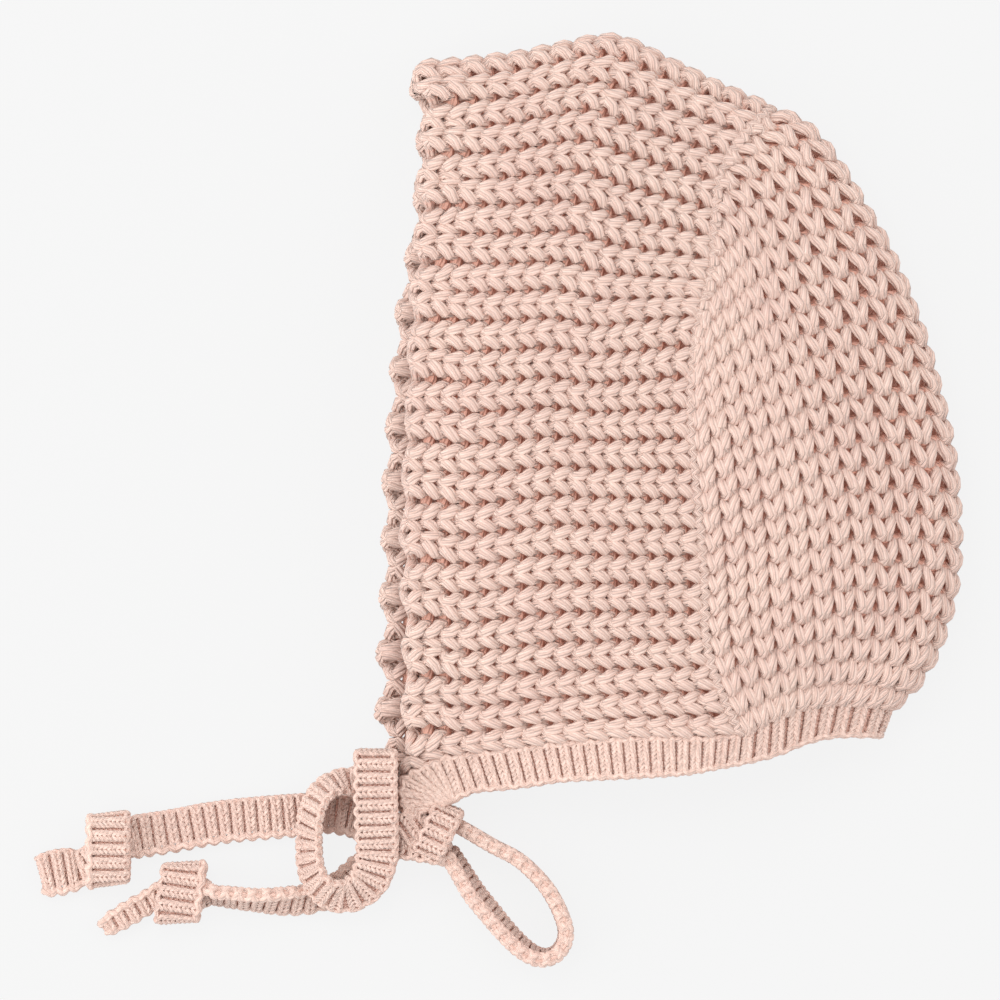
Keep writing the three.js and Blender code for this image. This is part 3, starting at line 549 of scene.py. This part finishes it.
def build(name, made):
    """A mesh object from ring grids in millimetres and their crest marks, put together as whole
    arrays."""
    parts, crests = zip(*made)
    co, corners, starts, uvs, offset, corner = [], [], [], [], 0, 0
    for part in parts:
        quads, caps = part["quads"] + offset, part["caps"] + offset
        corners += [quads.ravel(), caps.ravel()]
        starts += [corner + 4 * np.arange(len(quads))]
        corner += quads.size
        starts += [corner + caps.shape[1] * np.arange(len(caps))]
        corner += caps.size
        uvs += [part["uv"], np.zeros((caps.size, 2))]
        co.append(part["co"])
        offset += len(part["co"])
    co, corners = np.concatenate(co) * MM, np.concatenate(corners)
    starts, uvs = np.concatenate(starts), np.concatenate(uvs)
    mesh = bpy.data.meshes.new(name)
    mesh.vertices.add(len(co))
    mesh.vertices.foreach_set("co", co.ravel())
    mesh.loops.add(len(corners))
    mesh.loops.foreach_set("vertex_index", corners.astype(np.int32))
    mesh.polygons.add(len(starts))
    mesh.polygons.foreach_set("loop_start", starts.astype(np.int32))
    mesh.polygons.foreach_set("use_smooth", np.ones(len(starts), bool))
    mesh.uv_layers.new(name="yarn").uv.foreach_set("vector", uvs.ravel())
    layer = mesh.attributes.new("crest", "FLOAT", "POINT")
    layer.data.foreach_set("value", np.concatenate(crests).astype(np.float32))
    mesh.update(calc_edges=True)
    mesh.validate()
    piece = bpy.data.objects.new(name, mesh)
    bpy.context.scene.collection.objects.link(piece)
    return piece


def wander(a, b, seed):
    """A small smooth unevenness: a sum of sine waves over both scales, from fixed random phases."""
    random = np.random.default_rng(seed)
    out = np.zeros(np.broadcast(a, b).shape)
    for size in (0.9, 1.7, 2.6, 3.9):
        angle, phase = random.uniform(0, TURN, 2)
        out += np.sin(size * (a * math.cos(angle) + b * math.sin(angle)) + phase) / 4
    return out


def rib_yarn(fabric, course, first, last, yarn, seed, shape=None):
    """One course of rib: the loop's period repeated from the first rib to the last, laid on the
    fabric, with its height along the fabric's direction. Gives the tube and the crest marks of its
    heights, which weight the painted depth shade and glow."""
    period = loop_path(yarn["loop"], yarn["rings"], yarn["cell"])
    count = int(round(last - first))
    ribs = first + np.arange(count)
    a = np.append(course + np.tile(period[:-1, 0], count), course + period[-1, 0])
    b = np.append((ribs[:, None] + 0.5 + period[None, :-1, 1]).ravel(), last)
    h = np.append(np.tile(period[:-1, 2], count), period[-1, 2])
    jitter = yarn["jitter"]
    a = a + UNEVEN_COURSE * jitter * wander(a * 2.1, b * 2.3, seed)
    b = b + UNEVEN_RIB * jitter * wander(a * 2.7, b * 1.9, seed + 1)
    if shape is not None:
        a, b, h = shape(a, b, h)
    points, normals = fabric.place(a, b)
    radius = yarn["radius"] * (1 + UNEVEN_THICK * wander(a * 4, b * 4, seed + 3))
    # Crest marks for the painted depth shade and glow: raised yarn counts by its height, sunk yarn by a
    # share of its depth that grows to whole near the border, and the border's edge is lifted; low marks
    # get the painted shade
    inner = yarn["inner"] + (1 - yarn["inner"]) * np.exp(-((a / INNER_RUN)**2))
    crest = np.where(h > 0, h, -inner * h) / yarn["crest"]
    crest = crest + yarn["edge"] * np.exp(-((a / EDGE_RUN)**2))
    h = np.where(h > 0, yarn["press"] * h, h) - yarn["sink"] * (1 - np.cos(TURN * (b - 0.5))) / 2
    lift = h * yarn["radius"] + UNEVEN_LIFT * jitter * wander(a * 3, b * 3, seed + 2)
    part = tube(points + normals * lift[:, None], normals, radius, yarn["sides"])
    return part, np.repeat(crest, yarn["sides"])


def wrap_route(x, y, z, heading, half_long, half_high, slant, wide):
    """The route of a strap bound once round a bundle: a rounded oblong turn, at right angles to the
    strap's width, that starts and ends below."""
    turn = np.radians(np.linspace(-90, 270, 25))
    along = np.sign(np.cos(turn)) * np.abs(np.cos(turn))**WRAP_ROUND * half_long
    up = np.sign(np.sin(turn)) * np.abs(np.sin(turn))**WRAP_ROUND * half_high
    across = math.radians(heading)
    lean = slant * along / half_long
    east, north = math.cos(across), math.sin(across)
    return [(x - a * north + s * east, y + a * east + s * north, z + u, heading, 0, wide, WRAP_THICK)
            for a, u, s in zip(along, up, lean)]


def strap_fabric(route, wale, row):
    """A flat strap's middle surface along its smooth route: b counts wales along it, and a counts
    rows across it from one edge. Gives the fabric, its wales, its rows and its centre line."""
    route = np.array(route, float)
    turn, lean = np.radians(route[:, 3]), np.radians(route[:, 4])
    widths = np.stack([np.cos(turn) * np.cos(lean), np.sin(turn) * np.cos(lean), np.sin(lean)], 1)
    rough = spline(route[:, :3], 24, reach=True)
    marks = np.concatenate([[0], np.cumsum(np.linalg.norm(np.diff(rough, axis=0), axis=1))])
    wales = max(int(round(marks[-1] / wale)), 2)
    b = np.linspace(0, wales, 8 * wales + 1)
    even = np.interp(b / wales * marks[-1], marks, np.linspace(0, 1, len(marks)))
    centre = spline(route[:, :3], even, reach=True)
    width = spline(widths, even, reach=True)
    size = spline(route[:, 5:], even, reach=True)
    tangent = np.gradient(centre, axis=0)
    tangent /= np.linalg.norm(tangent, axis=1, keepdims=True)
    width = width - (width * tangent).sum(1, keepdims=True) * tangent
    width /= np.linalg.norm(width, axis=1, keepdims=True)
    rows = int(round(TIE_WIDTH * size[:, 0].mean() / row)) - 1
    a = np.linspace(-1, rows + 1, 2 * rows + 5)
    share = (a + 0.2) / (rows + 0.8) - 0.5
    points = centre + share[:, None, None] * width * (size[:, :1] * (TIE_WIDTH - 1.2))
    return Fabric(a, b, points), wales, rows, centre


def knit_strap(route, seed, edges, wale=3.45, row=1.3):
    """A fine rib strap: rows of loops across it, and along each of its edges a chain of the given
    strand radius. Gives its parts and its centre line."""
    fabric, wales, rows, centre = strap_fabric(route, wale, row)
    yarn = fine(STRAP_YARN, row, wale)
    made = [rib_yarn(fabric, course, 0, wales, yarn, seed + course) for course in range(rows)]
    for edge, radius in zip((0.0, rows + 0.3), edges):
        made += [chain_yarn(fabric, edge, 0, wales, radius, high * radius) for high in (1.15, -1.15)]
    return made, centre


def chain_yarn(fabric, course, first, last, radius, high, side_swing=0.3, pitches=1, lift=0.0):
    """A bound edge's strand, which winds round the edge's line: its height swings by a sine wave
    with the given number of turns to each wale, and it swings sideways a quarter turn behind."""
    count = int(round((last - first) * pitches))
    t = np.linspace(0, count, 10 * count + 1)
    swing = np.sin(TURN * t)
    a = course + side_swing * np.cos(TURN * t)
    points, normals = fabric.place(a, first + t / pitches)
    path = points + normals * (lift + high * swing)[:, None]
    part = tube(path, normals, radius * (1 + 0.1 * np.cos(2 * TURN * t)), 6)
    # The strand's crest mark follows its swing, so where it dips lowest the material paints a little
    # depth shade and glow on it
    return part, np.repeat(0.75 + 0.25 * swing * np.sign(high), 6)


def fine(radius, row, wale):
    """The fine yarn of the ties and the band, alike on both faces."""
    return {"loop": FINE_LOOP, "rings": 16, "sides": 5, "radius": radius, "cell": (row, wale, radius),
            "crest": 1.5, "jitter": 0.7, "inner": 1.0, "press": 1.0, "sink": 0.0, "edge": 0.0}


def inner_rows(route, wide, thick):
    """A knot's middle rows, with the plain strap's width and thickness that runs inside it."""
    return [(*row[:5], wide, thick) for row in route[1:-1]]


class Wire:
    """A shader socket whose + - * / and powers build Math nodes."""

    def __init__(self, shader, socket):
        self.shader, self.socket = shader, socket

    def math(self, operation, *values):
        return self.shader.node("ShaderNodeMath", {"operation": operation}, *values)

    def __add__(self, other):
        return self.math("ADD", self, other)

    def __radd__(self, other):
        return self.math("ADD", other, self)

    def __sub__(self, other):
        return self.math("SUBTRACT", self, other)

    def __rsub__(self, other):
        return self.math("SUBTRACT", other, self)

    def __mul__(self, other):
        return self.math("MULTIPLY", self, other)

    def __rmul__(self, other):
        return self.math("MULTIPLY", other, self)

    def __truediv__(self, other):
        return self.math("DIVIDE", self, other)

    def __pow__(self, other):
        return self.math("POWER", self, other)

    def sin(self):
        return self.math("SINE", self)

    def clamped(self):
        return self.shader.node("ShaderNodeClamp", {}, self)


class Shader:
    """One material's node tree."""

    def __init__(self, name):
        self.material = bpy.data.materials.new(name)
        self.material.use_nodes = True
        self.tree = self.material.node_tree
        self.tree.nodes.clear()

    def node(self, kind, settings, *values, output=0, **named):
        """Adds a node: its settings first, then the values or wires of its sockets in order or by
        name. Gives the wire of one output."""
        made = self.tree.nodes.new(kind)
        for key, value in settings.items():
            setattr(made, key, value)
        pairs = [(i, value) for i, value in enumerate(values)]
        pairs += [(key.replace("_", " "), value) for key, value in named.items()]
        for key, value in pairs:
            if isinstance(value, Wire):
                self.tree.links.new(value.socket, made.inputs[key])
            elif value is not None:
                made.inputs[key].default_value = value
        return Wire(self, made.outputs[output])

    def mix(self, factor, first, second):
        made = self.tree.nodes.new("ShaderNodeMix")
        made.data_type = "RGBA"
        for index, value in ((0, factor), (6, first), (7, second)):
            if isinstance(value, Wire):
                self.tree.links.new(value.socket, made.inputs[index])
            else:
                made.inputs[index].default_value = value if index == 0 else (*value, 1)
        return Wire(self, made.outputs[2])

    def finish(self, surface):
        made = self.tree.nodes.new("ShaderNodeOutputMaterial")
        self.tree.links.new(surface.socket, made.inputs["Surface"])
        return self.material


def yarn_material(name, colours, plies, ply_pitch, bump, depth):
    """Soft matt yarn: twisted plies as slanted grooves round the yarn with painted shade in them, loose
    fibres as fine noise, pale crests, a painted warm reddish shade and a painted glow on the deep yarn
    by the crest attribute, and slow uneven dye."""
    shader = Shader(name)
    where = shader.node("ShaderNodeTexCoord", {}, output=3)
    uv = shader.node("ShaderNodeUVMap", {"uv_map": "yarn"})
    along = shader.node("ShaderNodeSeparateXYZ", {}, uv, output=0)
    round_it = Wire(shader, along.socket.node.outputs[1])
    twist = (along * (TURN / ply_pitch) + round_it * (TURN * plies)).sin()
    fibre = shader.node("ShaderNodeTexNoise", {}, Vector=where, Scale=2600.0, Detail=3.0, Roughness=0.7)
    cloud = shader.node("ShaderNodeTexNoise", {}, Vector=where, Scale=55.0, Detail=2.0)
    speck = shader.node("ShaderNodeTexNoise", {}, Vector=where, Scale=700.0, Detail=2.0)
    crest = shader.node("ShaderNodeAttribute", {"attribute_name": "crest"}, output=2)
    # sunk marks the yarn that lies deep, from the crest attribute: it weights the painted depth shade
    # and the painted glow
    sunk = (1.0 - crest * 1.7).clamped()
    # Painted shade in the grooves between the plies, darkest where the twist dips
    ply_groove_shade = (0.5 - twist * 0.5)**3.0
    base = shader.mix((cloud * 1.6 - 0.3).clamped(), colours["base"], colours["pale"])
    base = shader.mix((speck * 1.4 - 0.35).clamped() * 0.3, base, colours["warm"])
    base = shader.mix(ply_groove_shade * 0.32, base, colours["ply_groove_shade"])
    # Painted shade: a warm reddish dark colour on the yarn that lies deep between the ribs
    base = shader.mix(sunk * depth, base, colours["deep_in_shade"])
    relief = twist * 0.6 + fibre * 0.5
    normal = shader.node("ShaderNodeBump", {}, Strength=bump, Distance=0.0006, Height=relief)
    surface = shader.tree.nodes.new("ShaderNodeBsdfPrincipled")
    # Painted glow: emission on the yarn that lies deep, standing in for light that seeps through the
    # wool into its shaded depths
    painted_glow = shader.mix(sunk, (0.0, 0.0, 0.0), colours["painted_glow"])
    shader.tree.links.new(painted_glow.socket, surface.inputs["Emission Color"])
    surface.inputs["Emission Strength"].default_value = 1.0
    surface.inputs["Specular IOR Level"].default_value = 0.22
    surface.inputs["Sheen Weight"].default_value = 0.25
    surface.inputs["Sheen Roughness"].default_value = 0.5
    surface.inputs["Sheen Tint"].default_value = (1.0, 0.93, 0.9, 1)
    rough = 0.86 + fibre * 0.1
    shader.tree.links.new(base.socket, surface.inputs["Base Color"])
    shader.tree.links.new(rough.socket, surface.inputs["Roughness"])
    shader.tree.links.new(normal.socket, surface.inputs["Normal"])
    return shader.finish(Wire(shader, surface.outputs[0]))


class BonnetSizes(bpy.types.PropertyGroup):
    """Sizes of the yarn and of how finely it is made."""

    yarn_radius: bpy.props.FloatProperty(
        name="Yarn radius", description="Half the thickness of the chunky yarn",
        default=FRONT_YARN * MM, min=0.5 * MM, max=2 * MM, subtype="DISTANCE", unit="LENGTH")
    near_rings: bpy.props.IntProperty(
        name="Rings, upper layer", description="Rings of yarn to each rib of the upper layer",
        default=28, min=12, max=48)
    far_rings: bpy.props.IntProperty(
        name="Rings, lower layer", description="Rings of yarn to each rib of the lower layer",
        default=22, min=12, max=48)
    sides: bpy.props.IntProperty(
        name="Yarn sides", description="Sides of the yarn's section", default=8, min=5, max=16)


class BonnetColours(bpy.types.PropertyGroup):
    """Colours of the wool, with its painted shade and painted glow, and of the floor."""

    base: bpy.props.FloatVectorProperty(
        name="Wool", description="Main colour of the wool", default=(0.84, 0.61, 0.535),
        size=3, min=0, max=1, subtype="COLOR")
    pale: bpy.props.FloatVectorProperty(
        name="Pale wool", description="Lighter patches of the dye", default=(0.90, 0.69, 0.60),
        size=3, min=0, max=1, subtype="COLOR")
    warm: bpy.props.FloatVectorProperty(
        name="Warm specks", description="Warmer fibres in the yarn", default=(0.80, 0.50, 0.38),
        size=3, min=0, max=1, subtype="COLOR")
    # Painted shade: the darker colour painted into the grooves between the plies
    ply_groove_shade: bpy.props.FloatVectorProperty(
        name="Ply grooves", description="Grooves between the plies", default=(0.62, 0.35, 0.27),
        size=3, min=0, max=1, subtype="COLOR")
    # Painted shade: the warm reddish dark colour painted onto yarn that lies deep between the ribs
    deep_in_shade: bpy.props.FloatVectorProperty(
        name="Depths", description="Yarn that lies deep between the ribs", default=(0.66, 0.31, 0.22),
        size=3, min=0, max=1, subtype="COLOR")
    # Painted glow: the emission colour painted onto the shaded depths of the yarn, though the yarn is
    # no lamp
    painted_glow: bpy.props.FloatVectorProperty(
        name="Light through the wool", description="Light that seeps through the yarn into its depths",
        default=(0.15, 0.058, 0.04), size=3, min=0, max=1, subtype="COLOR")
    floor: bpy.props.FloatVectorProperty(
        name="Floor", description="Pale surface below the bonnet", default=(0.045, 0.045, 0.045),
        size=3, min=0, max=1, subtype="COLOR")


def chunky(side, loop, radius, cell):
    """The chunky yarn of one layer, with the scene's fineness."""
    sizes = bpy.context.scene.bonnet_sizes
    rings = sizes.near_rings if side == "upper" else sizes.far_rings
    share = sizes.yarn_radius / (FRONT_YARN * MM)
    return {"loop": loop, "rings": rings, "sides": sizes.sides, "radius": radius * share, "cell": cell,
            "crest": 1.25, "jitter": 1.0, "inner": 0.3, "press": 1.0 if side == "upper" else 0.55,
            "sink": 1.0, "edge": 0.6}


def wool(kind):
    """The yarn's material, made once for each kind of knitting."""
    name = "wool_" + kind
    if name in bpy.data.materials:
        return bpy.data.materials[name]
    chosen = bpy.context.scene.bonnet_colours
    keys = ("base", "pale", "warm", "ply_groove_shade", "deep_in_shade", "painted_glow")
    shade = 1.0 if kind == "chunky" else 0.92
    colours = {key: tuple(shade * c for c in getattr(chosen, key)) for key in keys}
    # The last figure of each is how strongly the painted depth shade is mixed into that yarn
    if kind == "chunky":
        return yarn_material(name, colours, 7, 3.6, 0.9, 0.75)
    return yarn_material(name, colours, 4, 2.4, 0.6, 0.35)


def dress(piece, material, slot, *nodes):
    """Gives a piece its material and its body, and hides the solids that it stands for. Its slot is not
    used.
    """
    piece.data.materials.append(material)
    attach(piece, "root")
    if nodes:
        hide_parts(*nodes)
    return piece


class BONNET_OT_stage(bpy.types.Operator):
    """Lay the pale floor, set the soft light and the camera straight above"""

    bl_idname = "bonnet.stage"
    bl_label = "Stage"

    def execute(self, context):
        scene = context.scene
        scene.view_settings.view_transform = "Standard"
        camera = bpy.data.cameras.new("camera")
        camera.lens = LENS
        camera.sensor_width = SENSOR
        camera.clip_end = 20
        eye = bpy.data.objects.new("camera", camera)
        eye.location = (*PICTURE_MIDDLE, PICTURE_LEVEL + PICTURE_WIDE * LENS / SENSOR)
        scene.collection.objects.link(eye)
        scene.camera = eye

        floor_mesh = bpy.data.meshes.new("floor")
        corners = ((-1, -1), (1, -1), (1, 1), (-1, 1))
        floor_mesh.from_pydata(
            [(FLOOR_HALF * x, FLOOR_HALF * y, FLOOR_LEVEL) for x, y in corners], [], [(0, 1, 2, 3)])
        floor = bpy.data.objects.new("floor", floor_mesh)
        scene.collection.objects.link(floor)
        shader = Shader("floor_paper")
        colour = tuple(scene.bonnet_colours.floor)
        grain = shader.node("ShaderNodeTexNoise", {}, Scale=900.0, Detail=2.0)
        tone = shader.mix(grain * 0.04, colour, (0.035, 0.035, 0.035))
        paper = shader.tree.nodes.new("ShaderNodeBsdfPrincipled")
        paper.inputs["Roughness"].default_value = 0.9
        paper.inputs["Specular IOR Level"].default_value = 0.1
        paper.inputs["Emission Color"].default_value = (1, 1, 1, 1)
        paper.inputs["Emission Strength"].default_value = FLOOR_GLOW
        shader.tree.links.new(tone.socket, paper.inputs["Base Color"])
        floor.data.materials.append(shader.finish(Wire(shader, paper.outputs[0])))

        world = bpy.data.worlds.new("soft_light")
        world.use_nodes = True
        world.node_tree.nodes["Background"].inputs["Color"].default_value = (1, 1, 1, 1)
        world.node_tree.nodes["Background"].inputs["Strength"].default_value = SKY_LIGHT
        scene.world = world
        for name, place, size, power in LAMPS:
            light = bpy.data.lights.new(name, "AREA")
            light.shape = "SQUARE"
            light.size = size
            light.energy = power
            lamp = bpy.data.objects.new(name, light)
            lamp.location = place
            aim = np.array(LAMP_AIM) - place
            lamp.rotation_euler = (
                math.atan2(math.hypot(aim[0], aim[1]), -aim[2]), 0,
                math.atan2(aim[1], aim[0]) - math.pi / 2)
            scene.collection.objects.link(lamp)
        return {"FINISHED"}


class BONNET_OT_ties(bpy.types.Operator):
    """Make the bow's loops, its tails, their knots and their tips"""

    bl_idname = "bonnet.ties"
    bl_label = "Ties"

    def execute(self, context):
        inside = {"wide": 0.62, "thick": 0.9}
        made, paths = {}, {}
        for name, route, edges, nodes in (
                ("bow_loop_left", BOW_LOOP_LEFT, (0.66, 0.72), ["bow_loop_left"]),
                ("bow_loop_right", BOW_LOOP_RIGHT, (0.8, 1.1), ["bow_loop_right"]),
                ("tail_upper", TAIL_UPPER + inner_rows(END_KNOT_UPPER, **inside) + TIP_UPPER,
                 (0.95, 0.6), ["tail_upper", "tip_upper"]),
                ("tail_lower", TAIL_LOWER + inner_rows(END_KNOT_LOWER, **inside) + TIP_LOWER,
                 (0.66, 1.05), ["tail_lower", "tip_lower"]),
                ("end_knot_upper", wrap_route(*END_WRAP_UPPER), (0.95, 0.6), ["end_knot_upper"]),
                ("end_knot_lower", wrap_route(*END_WRAP_LOWER), (0.6, 0.9), ["end_knot_lower"])):
            parts, centres = knit_strap(route, TIE_SEED + 20 * len(made), edges)
            made[name] = build(name + "_knit", parts)
            paths[name] = centres * MM
            dress(made[name], wool("fine"), "tie_rib", *nodes)
        return {"FINISHED"}


class BONNET_OT_bow_knot(bpy.types.Operator):
    """Make the wrapped knot in the middle of the bow"""

    bl_idname = "bonnet.bow_knot"
    bl_label = "Bow knot"

    def execute(self, context):
        outline = Line(spline(np.array(BOW_KNOT + BOW_KNOT[:1]), 12))
        turns, levels = 96, 40
        plan = outline.at(np.arange(turns) / turns)
        centre = plan.mean(0)
        level = np.linspace(0, 1, levels)
        share = np.clip(np.sin(math.pi * level), 0, 1)**0.35
        z = KNOT_FOOT + KNOT_HIGH * level
        ring = centre + (plan - centre)[None] * (KNOT_CORE * share[:, None, None])
        vertices = np.concatenate([ring, np.broadcast_to(z[:, None, None], (levels, turns, 1))], -1)
        # The core's even crest mark, which gives it a little painted depth shade and glow
        marks = np.full(levels * turns, 0.5)
        made = [(grid_mesh(vertices, z, np.arange(turns + 1) / turns), marks)]
        for index, wrap in enumerate(BOW_WRAPS):
            made += knit_strap(wrap_route(*wrap), KNOT_SEED + 10 * index, (0.7, 0.7))[0]
        knot = build("bow_knot_knit", made)
        dress(knot, wool("fine"), "tie_rib", "bow_knot")
        return {"FINISHED"}


class BONNET_OT_front(bpy.types.Operator):
    """Knit the chunky front strip, upper and lower layer"""

    bl_idname = "bonnet.front_strip"
    bl_label = "Front strip"

    def execute(self, context):
        fabric = front_fabric()

        def lobed(a, b, h):
            """At the border every two ribs make a lobe that stands out past its notches, and one
            course in they draw together, which leaves a slot beside them."""
            uneven = 1 + 0.6 * wander(b * 0.5, b * 0.2, 7)
            edge = np.exp(-((np.maximum(a, 0) / LOBE_RUN)**2)) * uneven
            slot = np.exp(-(((a - LOBE_SLOT) / LOBE_RUN)**2)) * uneven
            a = BORDER_IN + a * (1 - BORDER_IN / FRONT_COURSES)
            b_pulled = b + LOBE_PULL * slot * np.sin(math.pi * b)
            return a + LOBE_SWING * edge * np.cos(math.pi * b), b_pulled, h

        for side, first, last in (("upper", -FRONT_RIBS, 0), ("lower", 0, FRONT_RIBS)):
            yarn = chunky(side, FRONT_LOOP, FRONT_YARN, (COURSE_PITCH, RIB_PITCH, FRONT_YARN))
            made = [rib_yarn(fabric, course, first, last, yarn, FRONT_SEED + course, lobed)
                    for course in range(FRONT_COURSES)]
            for high in (SEAM_HIGH, -SEAM_HIGH):
                made.append(chain_yarn(
                    fabric, FRONT_COURSES + SEAM_IN, first, last, SEAM_STRAND, high, SEAM_SWING,
                    SEAM_TURNS, SEAM_LIFT * yarn["press"]))
            piece = build("front_strip_" + side, made)
            dress(piece, wool("chunky"), "front_rib", "front_panel")
        return {"FINISHED"}


class BONNET_OT_back(bpy.types.Operator):
    """Knit the chunky back panel, upper and lower layer"""

    bl_idname = "bonnet.back_panel"
    bl_label = "Back panel"

    def execute(self, context):
        fabric, columns, rows = back_fabric()
        half = len(columns) // 2
        reach_of = columns[half:], rows[half:]

        def cut(a, b, h):
            """Towards the seam the rows crowd together, ever more slowly, and none goes past it."""
            top = np.interp(np.abs(b), *reach_of) + SEAM_TUCK
            past = np.maximum(a - top + SEAM_CROWD, 0)
            crowded = top - SEAM_CROWD * np.exp(-past / SEAM_CROWD)
            return np.where(past > 0, crowded, a), b, h

        for side, sign in (("upper", -1), ("lower", 1)):
            yarn = chunky(side, BACK_LOOP, BACK_YARN, (ROW_PITCH, COLUMN_PITCH, BACK_YARN))
            made = []
            for course in range(int(rows.max())):
                reach = columns[rows >= course - 0.2]
                count = min(int(math.ceil(reach.max() - 0.3)), BACK_RIBS) if len(reach) else 0
                if count < 1:
                    continue
                first, last = (-count, 0) if sign < 0 else (0, count)
                made.append(rib_yarn(fabric, course, first, last, yarn, BACK_SEED + course, cut))
            piece = build("back_panel_" + side, made)
            dress(piece, wool("chunky"), "back_rib", "back_panel")
        return {"FINISHED"}


class BONNET_OT_band(bpy.types.Operator):
    """Knit the fine rib band round the neck"""

    bl_idname = "bonnet.neck_band"
    bl_label = "Neck band"

    def execute(self, context):
        rows = BAND_ROWS
        b = np.linspace(-BAND_RIBS, BAND_RIBS, 16 * BAND_RIBS + 1)
        grids = []
        for side, part in (("near", b <= 0), ("far", b > 0)):
            ends = []
            for edge, fan in ((NECK[side], FAN_TOP), (HEM_LINE, FAN_HEM)):
                total = length_of(edge.length)
                marks = [share * (total - fan) for share in (0, BACK_SHARE, 1)] + [total]
                ribs = (0, BACK_BAND_RIBS, BAND_RIBS - FAN_RIBS, BAND_RIBS)
                length = np.interp(np.abs(b[part]), ribs, marks)
                ends.append(edge.at(1 - laid_out(length) / edge.length))
            grids.append((*ends, np.full(part.sum(), side == "near")))
        top, low, upper = (np.concatenate([g[k] for g in grids]) for k in range(3))
        a = np.linspace(0, rows + 0.8, 3 * rows)
        down = ((a + 0.1) / (rows + 1.0))[:, None, None]
        flat = top * (1 - down) + low * down
        z = height(flat, upper[None])
        fabric = Fabric(a, b, np.concatenate([flat, z[..., None]], -1))
        yarn = fine(BAND_YARN, BAND_ROW, BAND_WALE)
        made = [rib_yarn(fabric, course, -BAND_RIBS, BAND_RIBS, yarn, BAND_SEED + course)
                for course in range(rows)]
        for edge, high in ((0.0, 1.0), (0.0, -1.0), (rows + 0.4, 1.1), (rows + 0.4, -1.1)):
            made.append(chain_yarn(fabric, edge, -BAND_RIBS, BAND_RIBS, BAND_STRAND, high))
        band = build("neck_band_knit", made)
        dress(band, wool("fine"), "fine_rib", "neck_band")
        return {"FINISHED"}


class BONNET_PT_panel(bpy.types.Panel):
    """Sizes, colours and steps of the bonnet"""

    bl_idname = "BONNET_PT_panel"
    bl_label = "Chunky knit bonnet"
    bl_space_type = "VIEW_3D"
    bl_region_type = "UI"
    bl_category = "Bonnet"

    def draw(self, context):
        for group in (context.scene.bonnet_sizes, context.scene.bonnet_colours):
            for key in group.__annotations__:
                self.layout.prop(group, key)
        for operator in STEPS:
            self.layout.operator(operator.bl_idname)


STEPS = (
    BONNET_OT_stage, BONNET_OT_ties, BONNET_OT_bow_knot, BONNET_OT_front, BONNET_OT_back,
    BONNET_OT_band,
)
CLASSES = (BonnetSizes, BonnetColours, *STEPS, BONNET_PT_panel)


def register():
    for cls in CLASSES:
        bpy.utils.register_class(cls)
    bpy.types.Scene.bonnet_sizes = bpy.props.PointerProperty(type=BonnetSizes)
    bpy.types.Scene.bonnet_colours = bpy.props.PointerProperty(type=BonnetColours)


def unregister():
    del bpy.types.Scene.bonnet_colours
    del bpy.types.Scene.bonnet_sizes
    for cls in reversed(CLASSES):
        bpy.utils.unregister_class(cls)


def main():
    register()
    for step in STEPS:
        name = step.bl_idname.split(".")[1]
        getattr(bpy.ops.bonnet, name)()


if __name__ == "__main__":
    main()
